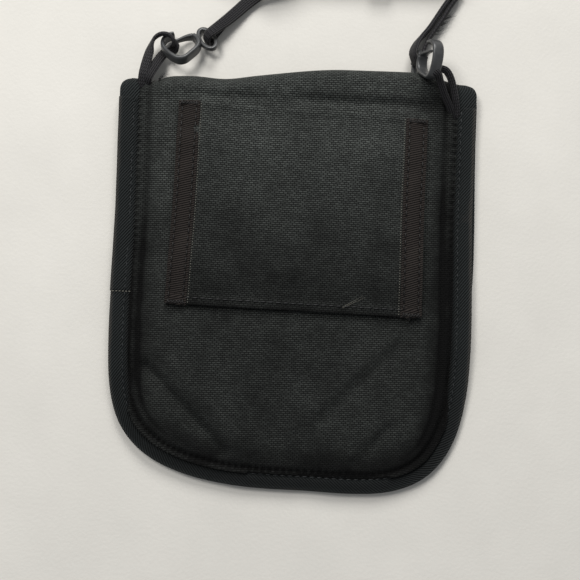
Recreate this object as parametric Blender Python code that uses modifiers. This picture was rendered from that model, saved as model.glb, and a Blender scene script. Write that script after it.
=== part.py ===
"""Neck pouch wallet: a bound fabric pouch with a fold-over flap, a belt tunnel on its back, a zipped
front pocket, and a neck cord on two plastic snap hooks. It lies on its flap, back up. The origin is on
the flap's flat outer face, +Y points to the top fold and +Z up. Lengths below are in millimetres."""

import math

import bpy
import numpy as np
from mathutils import Euler, Matrix, Vector

MM = 0.001
GAP = 0.3

# Driving sizes
BINDING_WIDTH = 8.5
FLAP_BINDING_HEIGHT = 2.4
POUCH_BINDING_HEIGHT = 4.8
FABRIC = 0.7
LINING = 0.5
FOLD_Y, FOLD_Z = 80.0, 7.0  # axis that the pouch swings about
CREST_Y = 88.0
FLAT_FRONT, LOW_FRONT = 5.3, 3.6  # the front fabric's height over the flap, and beyond it
POUCH_RIM_HIGH, POUCH_RIM_LOW = 5.4, 2.9
BACK_TOP = 12.0
DIVIDER_TOP = 6.6
BELT_TOP = 17.4
ZIP_Y = -44.0
HOOK_THICKNESS = 4.2
RING_THICKNESS = 2.2
CORD_RADIUS = 1.8
LOOP_RADIUS = 0.9

# Outline of the pouch, from the top right corner clockwise round the bottom
POUCH_RIM = [
    (75.4, 90.0), (75.2, 62.0), (75.3, 30.0), (76.2, 0.0), (76.2, -25.0), (74.4, -50.0), (69.5, -66.5),
    (60.0, -79.0), (44.0, -85.5), (20.0, -87.8), (-8.0, -86.6), (-32.0, -83.3), (-52.0, -77.8),
    (-65.0, -68.5), (-73.0, -56.0), (-76.3, -40.0), (-76.6, -20.0), (-75.8, 20.0), (-75.2, 54.0),
    (-75.6, 90.0),
]
FLAP_RIM = [
    (75.6, 90.0), (75.9, 62.0), (76.6, 36.0), (77.0, 14.0), (75.2, -2.0), (68.5, -15.0), (56.0, -22.0),
    (38.0, -24.3), (0.0, -24.8), (-38.0, -24.3), (-56.0, -22.0), (-68.0, -15.0), (-74.4, -2.0),
    (-75.2, 14.0), (-75.2, 36.0), (-75.2, 62.0), (-75.4, 90.0),
]
# Corners of the belt panel: lower left, lower right, upper right, upper left
BELT_CORNERS = np.array([(-53.1, -9.0), (54.6, -11.5), (54.3, 70.8), (-49.7, 76.0)])
BELT_TAPE_WIDTH = 9.2

# Snap hook, in its own plane: +X towards the eye, +Y towards the gate
HOOK_LINE = [
    (3.6, 5.7), (5.3, 3.3), (5.4, 1.1), (4.4, -1.1), (2.3, -3.6), (0.2, -5.8), (-1.9, -6.2), (-3.6, -5.1),
    (-5.5, -2.9), (-6.8, -0.5), (-7.3, 1.8), (-7.3, 4.0), (-6.6, 5.5), (-5.1, 6.3),
]
HOOK_HALF_WIDTH = 0.9
GATE_LINE = [(3.15, 6.45), (1.2, 6.35), (-0.8, 5.65), (-2.8, 4.55), (-4.6, 3.45)]
GATE_HALF_WIDTHS = (1.0, 0.55)
GATE_PIVOT = (2.8, 6.4)
RING_CENTRE, RING_TURN = (8.9, 4.3), math.radians(-60)
RING_OUTER, RING_HOLE = (6.0, 3.8), (4.2, 2.0)
LEFT_HOOK = (
    Matrix.Translation((-48.4, 98.3, 6.1))
    @ Matrix.Rotation(math.radians(2), 4, "Z")
    @ Matrix.Rotation(math.radians(-30), 4, "X")
)
RIGHT_HOOK = (
    Matrix.Translation((54.7, 96.0, 13.2))
    @ Matrix.Rotation(math.radians(122), 4, "Y")
    @ Matrix.Rotation(math.radians(-23), 4, "Z")
    @ Matrix.Translation((0.9, 0, 0))
)

# Routes, each as points on a smooth curve
HANG_LOOP_LEFT = [
    (-66.0, 85.6, 8.9), (-65.2, 92.0, 7.4), (-64.0, 98.0, 6.6), (-61.4, 102.3, 6.5), (-57.9, 104.3, 6.9),
    (-54.6, 103.5, 7.5), (-53.4, 100.8, 7.1), (-53.2, 98.4, 5.7), (-53.5, 96.9, 3.5), (-55.4, 95.3, 2.3),
    (-58.7, 93.5, 2.8), (-61.8, 89.8, 6.0), (-63.4, 85.6, 8.9),
]
HANG_LOOP_RIGHT = [
    (65.2, 76.5, 8.9), (65.7, 82.0, 9.6), (64.6, 87.0, 11.4), (62.6, 91.2, 13.4), (59.8, 93.8, 13.6),
    (56.2, 93.9, 15.2), (53.5, 92.9, 17.6), (54.6, 91.6, 20.2), (57.9, 90.9, 19.3), (59.4, 88.4, 16.4),
    (61.0, 84.6, 12.6), (62.8, 80.4, 9.8), (62.5, 76.5, 8.9),
]
EYE_LOOP_LEFT = [
    (-27.8, 113.6, 4.2), (-31.6, 109.6, 5.2), (-35.4, 106.0, 6.1), (-38.2, 104.1, 6.7), (-39.7, 102.8, 4.8),
    (-39.6, 101.7, 2.4), (-38.2, 101.9, 0.95), (-35.4, 104.8, 0.95), (-31.6, 109.0, 0.95), (-27.8, 113.0, 1.2),
]
EYE_LOOP_RIGHT = [
    (54.6, 110.6, 3.6), (50.6, 106.4, 4.4), (47.0, 102.6, 5.6), (45.6, 99.2, 6.2), (46.6, 97.2, 5.6),
    (49.2, 96.9, 4.0), (51.5, 98.2, 2.5), (52.4, 101.4, 1.9), (53.6, 105.4, 1.5), (56.2, 109.8, 1.5),
]
CORD_LEFT = [(-27.2, 114.2, 2.8), (-23.2, 118.4, 2.4), (-19.0, 122.0, 2.1), (-14.4, 124.9, 2.1)]
CORD_RIGHT = [(57.0, 113.0, 2.6), (59.6, 117.6, 2.8), (62.6, 122.4, 2.8), (65.9, 127.4, 2.8)]
HANK_CENTRE, HANK_HALF_RUN = (15.7, 149.9), 40.0
HANK_OUTER, HANK_INNER = 21.6, 12.6
HANK_BOTTOM, HANK_TOP = 0.9, 6.7
TIE_X, TIE_WIDTH, TIE_THICKNESS = 34.0, 10.0, 0.6

# Zip, measured from its centre line
CHAIN_OFFSET, CHAIN_RADIUS, CHAIN_HALF = 1.1, 0.75, 54.0
TAPE_NEAR, TAPE_FAR, TAPE_HALF, TAPE_THICKNESS = 2.15, 9.0, 63.0, 0.6
SLIDER_X, SLIDER_HALF = 40.0, 4.5
PULL_Z = LOW_FRONT - 2.32

for old in list(bpy.data.objects):
    bpy.data.objects.remove(old, do_unlink=True)
PARTS = bpy.data.collections.new("neck_pouch_wallet")
CUTTERS = bpy.data.collections.new("neck_pouch_wallet_guides")
bpy.context.scene.collection.children.link(PARTS)
bpy.context.scene.collection.children.link(CUTTERS)
CUTTERS.hide_render = True


# ---- materials
def finish(name, colour, roughness, metallic=0.0):
    material = bpy.data.materials.new(name)
    material.use_nodes = True
    shader = material.node_tree.nodes["Principled BSDF"]
    shader.inputs["Base Color"].default_value = (*colour, 1)
    shader.inputs["Roughness"].default_value = roughness
    shader.inputs["Metallic"].default_value = metallic
    return material


BODY_FABRIC = (0.022, 0.024, 0.023)
BINDING_BLACK = (0.014, 0.017, 0.019)
TAPE_BROWN = (0.034, 0.024, 0.021)
CORD_BLACK = (0.012, 0.012, 0.014)
HOOK_GREY = (0.030, 0.030, 0.032)
LINING_GREY = (0.060, 0.062, 0.064)
ZIP_BLACK = (0.012, 0.012, 0.012)
SLIDER_METAL = (0.080, 0.080, 0.082)


# ---- shape helpers
def smooth_path(points, step):
    """Points every step or so on the Catmull-Rom curve through these points."""
    p = np.array(points, float)
    p = np.vstack([2 * p[0] - p[1], p, 2 * p[-1] - p[-2]])
    t = np.linspace(0, 1, 24, endpoint=False)[:, None]
    parts = [
        0.5 * (2 * b + (c - a) * t + (2 * a - 5 * b + 4 * c - d) * t**2 + (3 * b - a - 3 * c + d) * t**3)
        for a, b, c, d in zip(p, p[1:], p[2:], p[3:])
    ]
    fine = np.vstack([*parts, p[-2]])
    along = np.concatenate([[0], np.cumsum(np.linalg.norm(np.diff(fine, axis=0), axis=1))])
    at = np.linspace(0, along[-1], round(along[-1] / step) + 1)
    return np.stack([np.interp(at, along, fine[:, k]) for k in range(fine.shape[1])], axis=1)


def inset(path, distance):
    """The path moved to its right-hand side, which is inwards for a clockwise outline."""
    tangent = np.gradient(path[:, :2], axis=0)
    tangent /= np.linalg.norm(tangent, axis=1)[:, None]
    moved = path.copy()
    moved[:, 0] += distance * tangent[:, 1]
    moved[:, 1] -= distance * tangent[:, 0]
    return moved


def smoothstep(x):
    x = np.clip(x, 0, 1)
    return x * x * (3 - 2 * x)


def own(obj, name, colour, roughness, metallic=0.0, collection=PARTS):
    """Names the object, gives it its own material and puts it in its collection."""
    obj.name = name
    for other in list(obj.users_collection):
        other.objects.unlink(obj)
    collection.objects.link(obj)
    if collection is CUTTERS:
        obj.hide_render = True
        obj.display_type = "WIRE"
        return obj
    obj.data.materials.clear()
    obj.data.materials.append(finish(name, colour, roughness, metallic))
    return obj


def curve(splines, dimensions, cyclic):
    data = bpy.data.curves.new("curve", "CURVE")
    data.dimensions = dimensions
    for points in splines:
        spline = data.splines.new("POLY")
        spline.points.add(len(points) - 1)
        for point, co in zip(spline.points, points):
            point.co = (*(Vector(co).to_3d() * MM), 1)
        spline.use_cyclic_u = cyclic
    obj = bpy.data.objects.new("curve", data)
    CUTTERS.objects.link(obj)
    return obj


def as_mesh(obj):
    """The evaluated object as a mesh with its caps welded."""
    bpy.context.view_layer.update()
    evaluated = obj.evaluated_get(bpy.context.evaluated_depsgraph_get())
    mesh = bpy.data.meshes.new_from_object(evaluated)
    bm = bmesh_of(mesh)
    bm.to_mesh(mesh)
    bm.free()
    new = bpy.data.objects.new(obj.name, mesh)
    new.matrix_world = obj.matrix_world
    CUTTERS.objects.link(new)
    bpy.data.objects.remove(obj, do_unlink=True)
    return new


def bmesh_of(mesh):
    import bmesh

    bm = bmesh.new()
    bm.from_mesh(mesh)
    bmesh.ops.remove_doubles(bm, verts=bm.verts, dist=0.000002)
    bmesh.ops.recalc_face_normals(bm, faces=bm.faces)
    return bm


def slab(splines, thickness, place=Matrix()):
    """A flat outline, with any holes as further splines, thickened evenly about its plane."""
    obj = curve(splines, "2D", True)
    obj.data.fill_mode = "BOTH"
    obj.data.extrude = thickness / 2 * MM
    obj.matrix_world = metres(place)
    return as_mesh(obj)


def metres(place):
    """The same placing with its shift in metres."""
    moved = place.copy()
    moved.translation = place.translation * MM
    return moved


def tube(points, radius, step):
    obj = curve([smooth_path(points, step)], "3D", False)
    obj.data.bevel_depth = radius * MM
    obj.data.bevel_resolution = 2
    obj.data.use_fill_caps = True
    return obj


def strip(path, width, height):
    """A flattened eight-sided section carried along a path, its width level and its height upright."""
    w, h = width / 2, height / 2
    section = curve(
        [[(w, -h / 3), (w, h / 3), (w * 0.72, h), (-w * 0.72, h), (-w, h / 3), (-w, -h / 3), (-w * 0.72, -h), (w * 0.72, -h)]],
        "2D",
        True,
    )
    obj = curve([path], "3D", False)
    obj.data.twist_mode = "Z_UP"
    obj.data.bevel_mode = "OBJECT"
    obj.data.bevel_object = section
    obj.data.use_fill_caps = True
    made = as_mesh(obj)
    bpy.data.objects.remove(section, do_unlink=True)
    return made


def union(base, other):
    boolean = base.modifiers.new("join", "BOOLEAN")
    boolean.operation = "UNION"
    boolean.object = other
    joined = as_mesh(base)
    bpy.data.objects.remove(other, do_unlink=True)
    return joined


def box(low, high):
    """A block between two opposite corners."""
    low, high = Vector(low), Vector(high)
    bpy.ops.mesh.primitive_cube_add(size=1)
    obj = bpy.context.object
    obj.data.transform(Matrix.Translation((low + high) / 2 * MM) @ Matrix.Diagonal((*((high - low) * MM), 1)))
    return obj


def band_outline(line, half_widths):
    """The closed outline of a flat band along a line, as wide as each point says."""
    tangent = np.gradient(line, axis=0)
    tangent /= np.linalg.norm(tangent, axis=1)[:, None]
    side = np.stack([-tangent[:, 1], tangent[:, 0]], axis=1) * np.asarray(half_widths)[:, None]
    return np.vstack([line + side, (line - side)[::-1]])


def panel_outline(rim, top, edge):
    """A rim's outline moved inwards and closed by a straight top edge."""
    path = inset(smooth_path(rim, 8.0), edge)
    path = path[path[:, 1] < top - 2.0]
    right = np.array([[path[0, 0], top]])
    left = np.array([[path[-1, 0], top]])
    across = np.linspace(left[0], right[0], 16)[1:-1]
    return np.vstack([right, path, left, across])


def loft(outline, height, thickness, rings=(1.0, 0.9, 0.8, 0.68, 0.5, 0.28)):
    """A sheet whose rings shrink from its outline to its centre, each at its own height, thickened both ways."""
    centre = (outline.max(axis=0) + outline.min(axis=0)) / 2
    flat = np.vstack([centre + (outline - centre) * ring for ring in rings] + [centre[None]])
    z = height(flat[:, 0], flat[:, 1])
    points = np.column_stack([flat, z]) * MM
    n, last = len(outline), len(flat) - 1
    faces = []
    for ring in range(len(rings) - 1):
        for i in range(n):
            a, b = ring * n + i, ring * n + (i + 1) % n
            faces.append((a, a + n, b + n, b))
    for i in range(n):
        faces.append((last - n + i, last, last - n + (i + 1) % n))
    return thickened(points, faces, thickness)


def thickened(points, faces, thickness):
    mesh = bpy.data.meshes.new("sheet")
    mesh.from_pydata([tuple(p) for p in points], [], faces)
    obj = bpy.data.objects.new("sheet", mesh)
    CUTTERS.objects.link(obj)
    wall = obj.modifiers.new("fabric", "SOLIDIFY")
    wall.thickness = thickness * MM
    wall.offset = 0
    return obj


# ---- heights of the fabric layers
POUCH_INNER = panel_outline(POUCH_RIM, FOLD_Y - GAP, BINDING_WIDTH + GAP)
RIM_ANGLES = np.arctan2(POUCH_INNER[:, 1], POUCH_INNER[:, 0])
RIM_ORDER = np.argsort(RIM_ANGLES)
RIM_RADII = np.hypot(POUCH_INNER[:, 0], POUCH_INNER[:, 1])


def fullness(x, y, band):
    """0 at the pouch's seam to 1 once a share of the way to the middle has passed."""
    radius = np.interp(
        np.arctan2(y, x), RIM_ANGLES[RIM_ORDER], RIM_RADII[RIM_ORDER], period=2 * math.pi
    )
    return smoothstep((1 - np.hypot(x, y) / radius) / band)


def front_height(x, y):
    return LOW_FRONT + (FLAT_FRONT - LOW_FRONT) * smoothstep((y + 40) / 24)


def rim_height(y):
    return POUCH_RIM_LOW + (POUCH_RIM_HIGH - POUCH_RIM_LOW) * smoothstep((y + 62) / 42)


def back_height(x, y):
    edge = front_height(x, y) + 1.6
    return edge + (BACK_TOP - edge) * fullness(x, y, 0.42)


def divider_height(x, y):
    edge = front_height(x, y) + 0.85
    return edge + (DIVIDER_TOP - edge) * fullness(x, y, 0.35)


# ---- flap, the layer that lies on the table
def flap_parts():
    outline = panel_outline(FLAP_RIM, FOLD_Y - GAP, BINDING_WIDTH + GAP)
    panel = slab([outline], 0.8, Matrix.Translation((0, 0, 0.4)))
    own(panel, "flap_panel", BODY_FABRIC, 0.85)
    lining = slab([outline], 0.6, Matrix.Translation((0, 0, 1.4)))
    own(lining, "flap_lining", LINING_GREY, 0.8)
    path = inset(smooth_path(FLAP_RIM, 8.0), BINDING_WIDTH / 2)
    path = cut_at_fold(path, FLAP_BINDING_HEIGHT / 2)
    own(strip(path, BINDING_WIDTH, FLAP_BINDING_HEIGHT), "flap_binding", BINDING_BLACK, 0.8)
    own(box((-35, -10, 2.0), (35, 10, 2.9)), "flap_hook_strip", ZIP_BLACK, 0.9)


def cut_at_fold(path, height):
    """The stretch of a rim path below the fold, its ends square on the fold line, at one height or a height at each y."""
    below = path[path[:, 1] < FOLD_Y - 3.0]
    first = [below[0, 0], FOLD_Y - GAP]
    last = [below[-1, 0], FOLD_Y - GAP]
    flat = np.vstack([first, below, last])
    z = height(flat[:, 1]) if callable(height) else np.full(len(flat), height)
    return np.column_stack([flat, z])


# ---- the fold, which bends when the pouch is lifted off its flap
def fold_parts():
    upright = Euler((math.pi / 2, 0, math.pi / 2)).to_matrix().to_4x4()
    cloth_line = [(80.0, 6.9), (83.6, 7.1), (86.6, 6.0), (87.6, 3.9), (86.6, 1.7), (83.8, 0.5), (80.0, 0.4)]
    cloth = band_outline(smooth_path(cloth_line, 1.6), [0.4] * len(smooth_path(cloth_line, 1.6)))
    own(slab([cloth], 132.0, upright), "top_fold", BODY_FABRIC, 0.85)
    binding_line = [(80.0, 6.3), (83.2, 6.3), (85.9, 5.4), (86.7, 3.7), (85.9, 2.0), (83.2, 1.2), (80.0, 1.15)]
    line = smooth_path(binding_line, 1.6)
    for name, x in (("fold_binding_left", -71.4), ("fold_binding_right", 71.4)):
        crossing = slab([band_outline(line, [1.1] * len(line))], BINDING_WIDTH, Matrix.Translation((x, 0, 0)) @ upright)
        own(crossing, name, BINDING_BLACK, 0.8)


# ---- pouch body
def pouch_parts():
    own(loft(POUCH_INNER, back_height, FABRIC), "back_panel", BODY_FABRIC, 0.85)
    divider = panel_outline(POUCH_RIM, 70.0, BINDING_WIDTH + 0.8)
    own(loft(divider, divider_height, 0.4), "pocket_divider", LINING_GREY, 0.8)
    path = inset(smooth_path(POUCH_RIM, 8.0), BINDING_WIDTH / 2)
    path = cut_at_fold(path, rim_height)
    own(strip(path, BINDING_WIDTH, POUCH_BINDING_HEIGHT), "pouch_binding", BINDING_BLACK, 0.8)
    upper, lower = front_outlines()
    own(loft(upper, front_height, FABRIC), "front_panel_upper", BODY_FABRIC, 0.85)
    own(loft(lower, front_height, FABRIC), "front_panel_lower", BODY_FABRIC, 0.85)
    own(box((-35, -10, 3.3), (35, 10, 4.6)), "front_loop_strip", ZIP_BLACK, 0.95)


def front_outlines():
    """The front in two pieces, above and below the zip's tapes."""
    full = panel_outline(POUCH_RIM, 74.0, BINDING_WIDTH + GAP)
    above, below = ZIP_Y + TAPE_FAR + GAP, ZIP_Y - TAPE_FAR - GAP
    upper = full[full[:, 1] > above + 1.0]
    edge = np.column_stack([np.linspace(66.0, -66.0, 18), np.full(18, above)])
    right = upper[(upper[:, 0] > 0) & (upper[:, 1] < 73.9)]
    left = upper[(upper[:, 0] < 0) & (upper[:, 1] < 73.9)]
    top = full[full[:, 1] > 73.9]
    upper = np.vstack([top[:1], right, edge, left, top[1:]])
    lower = full[full[:, 1] < below - 1.0]
    edge = np.column_stack([np.linspace(-63.5, 63.5, 18), np.full(18, below)])
    return upper, np.vstack([lower, edge])


# ---- belt tunnel on the back
def belt_sheet(u_low, u_high, columns, thickness):
    """A patch of the quadrilateral between its corners, sewn down at both ends and raised between them."""
    rows = np.array([0, 0.025, 0.06, 0.10, 0.14, 0.3, 0.5, 0.7, 0.86, 0.90, 0.94, 0.975, 1])
    u, v = np.meshgrid(np.linspace(u_low, u_high, columns), rows, indexing="ij")
    u, v = u.ravel()[:, None], v.ravel()[:, None]
    a, b, c, d = BELT_CORNERS
    flat = (1 - v) * ((1 - u) * a + u * b) + v * ((1 - u) * d + u * c)
    sewn = back_height(flat[:, 0], flat[:, 1]) + FABRIC + 0.55
    rise = smoothstep((0.5 - abs(v[:, 0] - 0.5) - 0.03) / 0.1)
    points = np.column_stack([flat, sewn + (BELT_TOP - sewn) * rise]) * MM
    n = len(rows)
    faces = [
        (i * n + j, (i + 1) * n + j, (i + 1) * n + j + 1, i * n + j + 1)
        for i in range(columns - 1)
        for j in range(n - 1)
    ]
    return thickened(points, faces, thickness)


def belt_parts():
    share = BELT_TAPE_WIDTH / 105.0
    own(belt_sheet(share + 0.003, 1 - share - 0.003, 7, 0.8), "belt_panel", BODY_FABRIC, 0.85)
    own(belt_sheet(0, share, 3, 1.2), "belt_tape_left", TAPE_BROWN, 0.8)
    own(belt_sheet(1 - share, 1, 3, 1.2), "belt_tape_right", TAPE_BROWN, 0.8)
    a, b, c, d = BELT_CORNERS
    inward = BELT_TAPE_WIDTH / 2
    corners = [(a, 1, 1), (b, -1, 1), (c, -1, -1), (d, 1, -1)]
    for number, (corner, to_x, to_y) in enumerate(corners, 1):
        x, y = corner[0] + to_x * inward, corner[1] + to_y * 1.3
        under = back_height(x + 4.0 * np.array([-1, 1, -1, 1]), y + to_y * 1.4 + 0.7 * np.array([-1, -1, 1, 1]))
        base = float(under.max()) + FABRIC + 0.55 + 0.6 + GAP
        bar = box((x - 4.0, y - 0.7, base), (x + 4.0, y + 0.7, base + 0.6))
        own(bar, f"belt_bartack_{number}", TAPE_BROWN, 0.7)


# ---- zip of the front pocket
def zip_parts():
    z = LOW_FRONT
    half = TAPE_THICKNESS / 2
    own(box((-TAPE_HALF, ZIP_Y + TAPE_NEAR, z - half), (TAPE_HALF, ZIP_Y + TAPE_FAR, z + half)), "zip_tape_upper", ZIP_BLACK, 0.8)
    own(box((-TAPE_HALF, ZIP_Y - TAPE_FAR, z - half), (TAPE_HALF, ZIP_Y - TAPE_NEAR, z + half)), "zip_tape_lower", ZIP_BLACK, 0.8)
    for name, side in (("zip_chain_upper", 1), ("zip_chain_lower", -1)):
        bpy.ops.mesh.primitive_cylinder_add(vertices=12, radius=CHAIN_RADIUS * MM, depth=2 * CHAIN_HALF * MM)
        chain = bpy.context.object
        chain.data.transform(Euler((0, math.pi / 2, 0)).to_matrix().to_4x4())
        chain.location = Vector((0, ZIP_Y + side * CHAIN_OFFSET, z)) * MM
        chain.data.shade_smooth()
        chain.data.set_sharp_from_angle(angle=math.radians(40))
        own(chain, name, ZIP_BLACK, 0.5)
    for name, x in (("zip_stop_left", -CHAIN_HALF - 1.2), ("zip_stop_right", CHAIN_HALF + 1.2)):
        own(box((x - 0.9, ZIP_Y - 1.8, z - 0.8), (x + 0.9, ZIP_Y + 1.8, z + 0.8)), name, SLIDER_METAL, 0.4, 1.0)
    slider_parts(z)


def slider_parts(z):
    """Two plates on a thin web between the chains, with lips over the tapes and a bridge for the pull."""
    quarter = [(0.15, 0.95), (2.75, 0.95), (2.75, 0.5), (3.3, 0.5), (3.3, 1.4), (2.8, 1.8)]
    right = quarter[::-1] + [(x, -y) for x, y in quarter]
    section = right + [(-x, -y) for x, y in right]
    across = Euler((math.pi / 2, 0, math.pi / 2)).to_matrix().to_4x4()
    place = Matrix.Translation((SLIDER_X, ZIP_Y, z)) @ across
    body = slab([section], 2 * SLIDER_HALF, place)
    top, bottom, low = -1.7, -2.85, -3.4
    bridge = [(-3.4, top), (-3.4, low), (3.4, low), (3.4, top), (2.6, top), (2.6, bottom), (-2.6, bottom), (-2.6, top)]
    along = Euler((math.pi / 2, 0, 0)).to_matrix().to_4x4()
    bridge = slab([bridge], 1.6, Matrix.Translation((SLIDER_X, ZIP_Y, z)) @ along)
    slider = own(union(body, bridge), "zip_slider", SLIDER_METAL, 0.4, 1.0)
    set_origin(slider, (SLIDER_X, ZIP_Y, z))
    outline = smooth_path([(0.37, 0), (0.24, 1.9), (-2, 2.3), (-7, 2.2), (-12, 2.6), (-19, 3.0), (-22, 2.0), (-22.6, 0)], 1.5)
    outline = np.vstack([outline, (outline * (1, -1))[::-1][1:-1]])
    window = [(-0.34, -1.05), (-0.34, 1.05), (-6.5, 1.05), (-6.5, -1.05)]
    pull = slab([outline, window], 0.6, Matrix.Translation((SLIDER_X, ZIP_Y, PULL_Z)))
    own(pull, "zip_pull", SLIDER_METAL, 0.4, 1.0)


def set_origin(obj, point):
    """Puts the object's origin at a point without moving its shape."""
    place = metres(Matrix.Translation(point))
    obj.data.transform(place.inverted() @ obj.matrix_world)
    obj.matrix_world = place


# ---- snap hooks
def hook_parts(side, place):
    line = smooth_path(HOOK_LINE, 1.8)
    frame = slab([band_outline(line, [HOOK_HALF_WIDTH] * len(line))], HOOK_THICKNESS)
    turn = np.linspace(0, 2 * math.pi, 25)[:-1]
    c, s = math.cos(RING_TURN), math.sin(RING_TURN)
    ovals = []
    for long, short in (RING_OUTER, RING_HOLE):
        x, y = long * np.cos(turn), short * np.sin(turn)
        ovals.append(np.column_stack([RING_CENTRE[0] + c * x - s * y, RING_CENTRE[1] + s * x + c * y]))
    hook = union(frame, slab(ovals, RING_THICKNESS))
    hook.matrix_world = metres(place)
    own(hook, f"snap_hook_{side}", HOOK_GREY, 0.35)
    line = smooth_path(GATE_LINE, 1.6)
    outline = band_outline(line, np.linspace(*GATE_HALF_WIDTHS, len(line)))
    gate = slab([outline - GATE_PIVOT], HOOK_THICKNESS)
    gate.matrix_world = metres(place @ Matrix.Translation((*GATE_PIVOT, 0)))
    own(gate, f"hook_gate_{side}", HOOK_GREY, 0.35)


# ---- cord, its loops and its stored hank
def stadium(half_run, radius, steps):
    """A closed outline of two straight runs joined by half circles."""
    turn = np.linspace(-math.pi / 2, math.pi / 2, steps)
    right = np.column_stack([half_run + radius * np.cos(turn), radius * np.sin(turn)])
    return np.vstack([right, -right]) + HANK_CENTRE


def cord_parts():
    loops = (("hang_loop_left", HANG_LOOP_LEFT), ("hang_loop_right", HANG_LOOP_RIGHT),
             ("cord_eye_loop_left", EYE_LOOP_LEFT), ("cord_eye_loop_right", EYE_LOOP_RIGHT))
    for name, route in loops:
        own(tube(route, LOOP_RADIUS, 2.6), name, CORD_BLACK, 0.8)
    for name, route in (("neck_cord_left", CORD_LEFT), ("neck_cord_right", CORD_RIGHT)):
        own(tube(route, CORD_RADIUS, 3.6), name, CORD_BLACK, 0.8)
    middle = Matrix.Translation((0, 0, (HANK_BOTTOM + HANK_TOP) / 2))
    outlines = [stadium(HANK_HALF_RUN, HANK_OUTER, 13), stadium(HANK_HALF_RUN, HANK_INNER, 13)]
    own(slab(outlines, HANK_TOP - HANK_BOTTOM, middle), "cord_hank", CORD_BLACK, 0.85)
    own(tie(), "cord_tie", ZIP_BLACK, 0.7)


def tie():
    """A flat strap closed round both runs of the hank."""
    y, z = HANK_CENTRE[1], (HANK_BOTTOM + HANK_TOP) / 2
    half_y, half_z = HANK_OUTER + 1.0, (HANK_TOP - HANK_BOTTOM) / 2 + 0.28
    rings = []
    for more in (TIE_THICKNESS, 0):
        a, b = half_y + more, half_z + more
        rings.append([(y + i, z + j) for i, j in ((a, b - 1), (a - 1, b), (1 - a, b), (-a, b - 1),
                                                 (-a, 1 - b), (1 - a, -b), (a - 1, -b), (a, 1 - b))])
    across = Euler((math.pi / 2, 0, math.pi / 2)).to_matrix().to_4x4()
    return slab(rings, TIE_WIDTH, Matrix.Translation((TIE_X, 0, 0)) @ across)


flap_parts()
fold_parts()
pouch_parts()
belt_parts()
zip_parts()
hook_parts("left", LEFT_HOOK)
hook_parts("right", RIGHT_HOOK)
cord_parts()
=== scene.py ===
"""Neck pouch wallet, lying back up on a table: the finished look over its fixed frame.
Lengths inside the functions are in millimetres, and build() turns them to metres."""

import math

import bmesh
import bpy
import numpy as np
from bpy.props import FloatProperty, FloatVectorProperty, IntProperty, PointerProperty
from mathutils import Matrix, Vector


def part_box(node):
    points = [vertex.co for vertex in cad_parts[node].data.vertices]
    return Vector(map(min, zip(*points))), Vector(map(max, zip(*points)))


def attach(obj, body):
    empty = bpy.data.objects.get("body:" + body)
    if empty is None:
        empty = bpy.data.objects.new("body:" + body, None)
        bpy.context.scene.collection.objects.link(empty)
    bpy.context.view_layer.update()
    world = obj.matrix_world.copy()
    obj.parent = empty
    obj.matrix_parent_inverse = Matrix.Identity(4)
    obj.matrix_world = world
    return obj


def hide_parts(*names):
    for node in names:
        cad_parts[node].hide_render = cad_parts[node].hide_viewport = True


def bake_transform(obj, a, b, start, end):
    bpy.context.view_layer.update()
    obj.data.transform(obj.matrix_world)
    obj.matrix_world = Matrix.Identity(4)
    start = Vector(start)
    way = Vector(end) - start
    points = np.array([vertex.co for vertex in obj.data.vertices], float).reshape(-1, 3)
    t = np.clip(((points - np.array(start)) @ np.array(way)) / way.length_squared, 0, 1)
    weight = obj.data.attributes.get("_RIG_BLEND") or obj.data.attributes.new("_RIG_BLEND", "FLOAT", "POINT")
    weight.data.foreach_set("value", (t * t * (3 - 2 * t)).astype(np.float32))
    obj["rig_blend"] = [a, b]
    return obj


bl_info = {
    "name": "Neck pouch wallet",
    "version": (1, 0, 0),
    "blender": (4, 5, 0),
    "location": "View3D > Sidebar > Neck pouch",
    "description": "Builds the cloth, cord, hooks and zip of a neck pouch wallet",
    "category": "Object",
}

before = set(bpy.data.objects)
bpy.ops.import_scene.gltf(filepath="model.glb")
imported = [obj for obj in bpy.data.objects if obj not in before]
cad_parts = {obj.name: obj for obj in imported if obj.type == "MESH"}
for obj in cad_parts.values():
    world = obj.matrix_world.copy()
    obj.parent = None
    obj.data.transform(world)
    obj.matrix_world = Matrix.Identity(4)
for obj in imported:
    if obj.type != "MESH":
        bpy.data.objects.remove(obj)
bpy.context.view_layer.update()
POUCH_BOX = np.array([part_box("pouch_binding")[0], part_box("pouch_binding")[1]]) * 1000
HANK_BOX = np.array([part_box("cord_hank")[0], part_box("cord_hank")[1]]) * 1000
CAMERA_PLACE = (-0.0008, -0.0017, 0.457)  # metres, straight above
CAMERA_TURN = math.radians(2)
VIEW_HALF_WIDTH, VIEW_DISTANCE = 0.1222, 0.45  # metres, what the view takes in at the pouch
TABLE_REACH = 900.0
ROOM_LIGHT = 0.25
BEND_FROM, BEND_TO = (0, 0.086, 0.007), (0, 0.076, 0.007)  # the cloth between these turns with the lift

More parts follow.
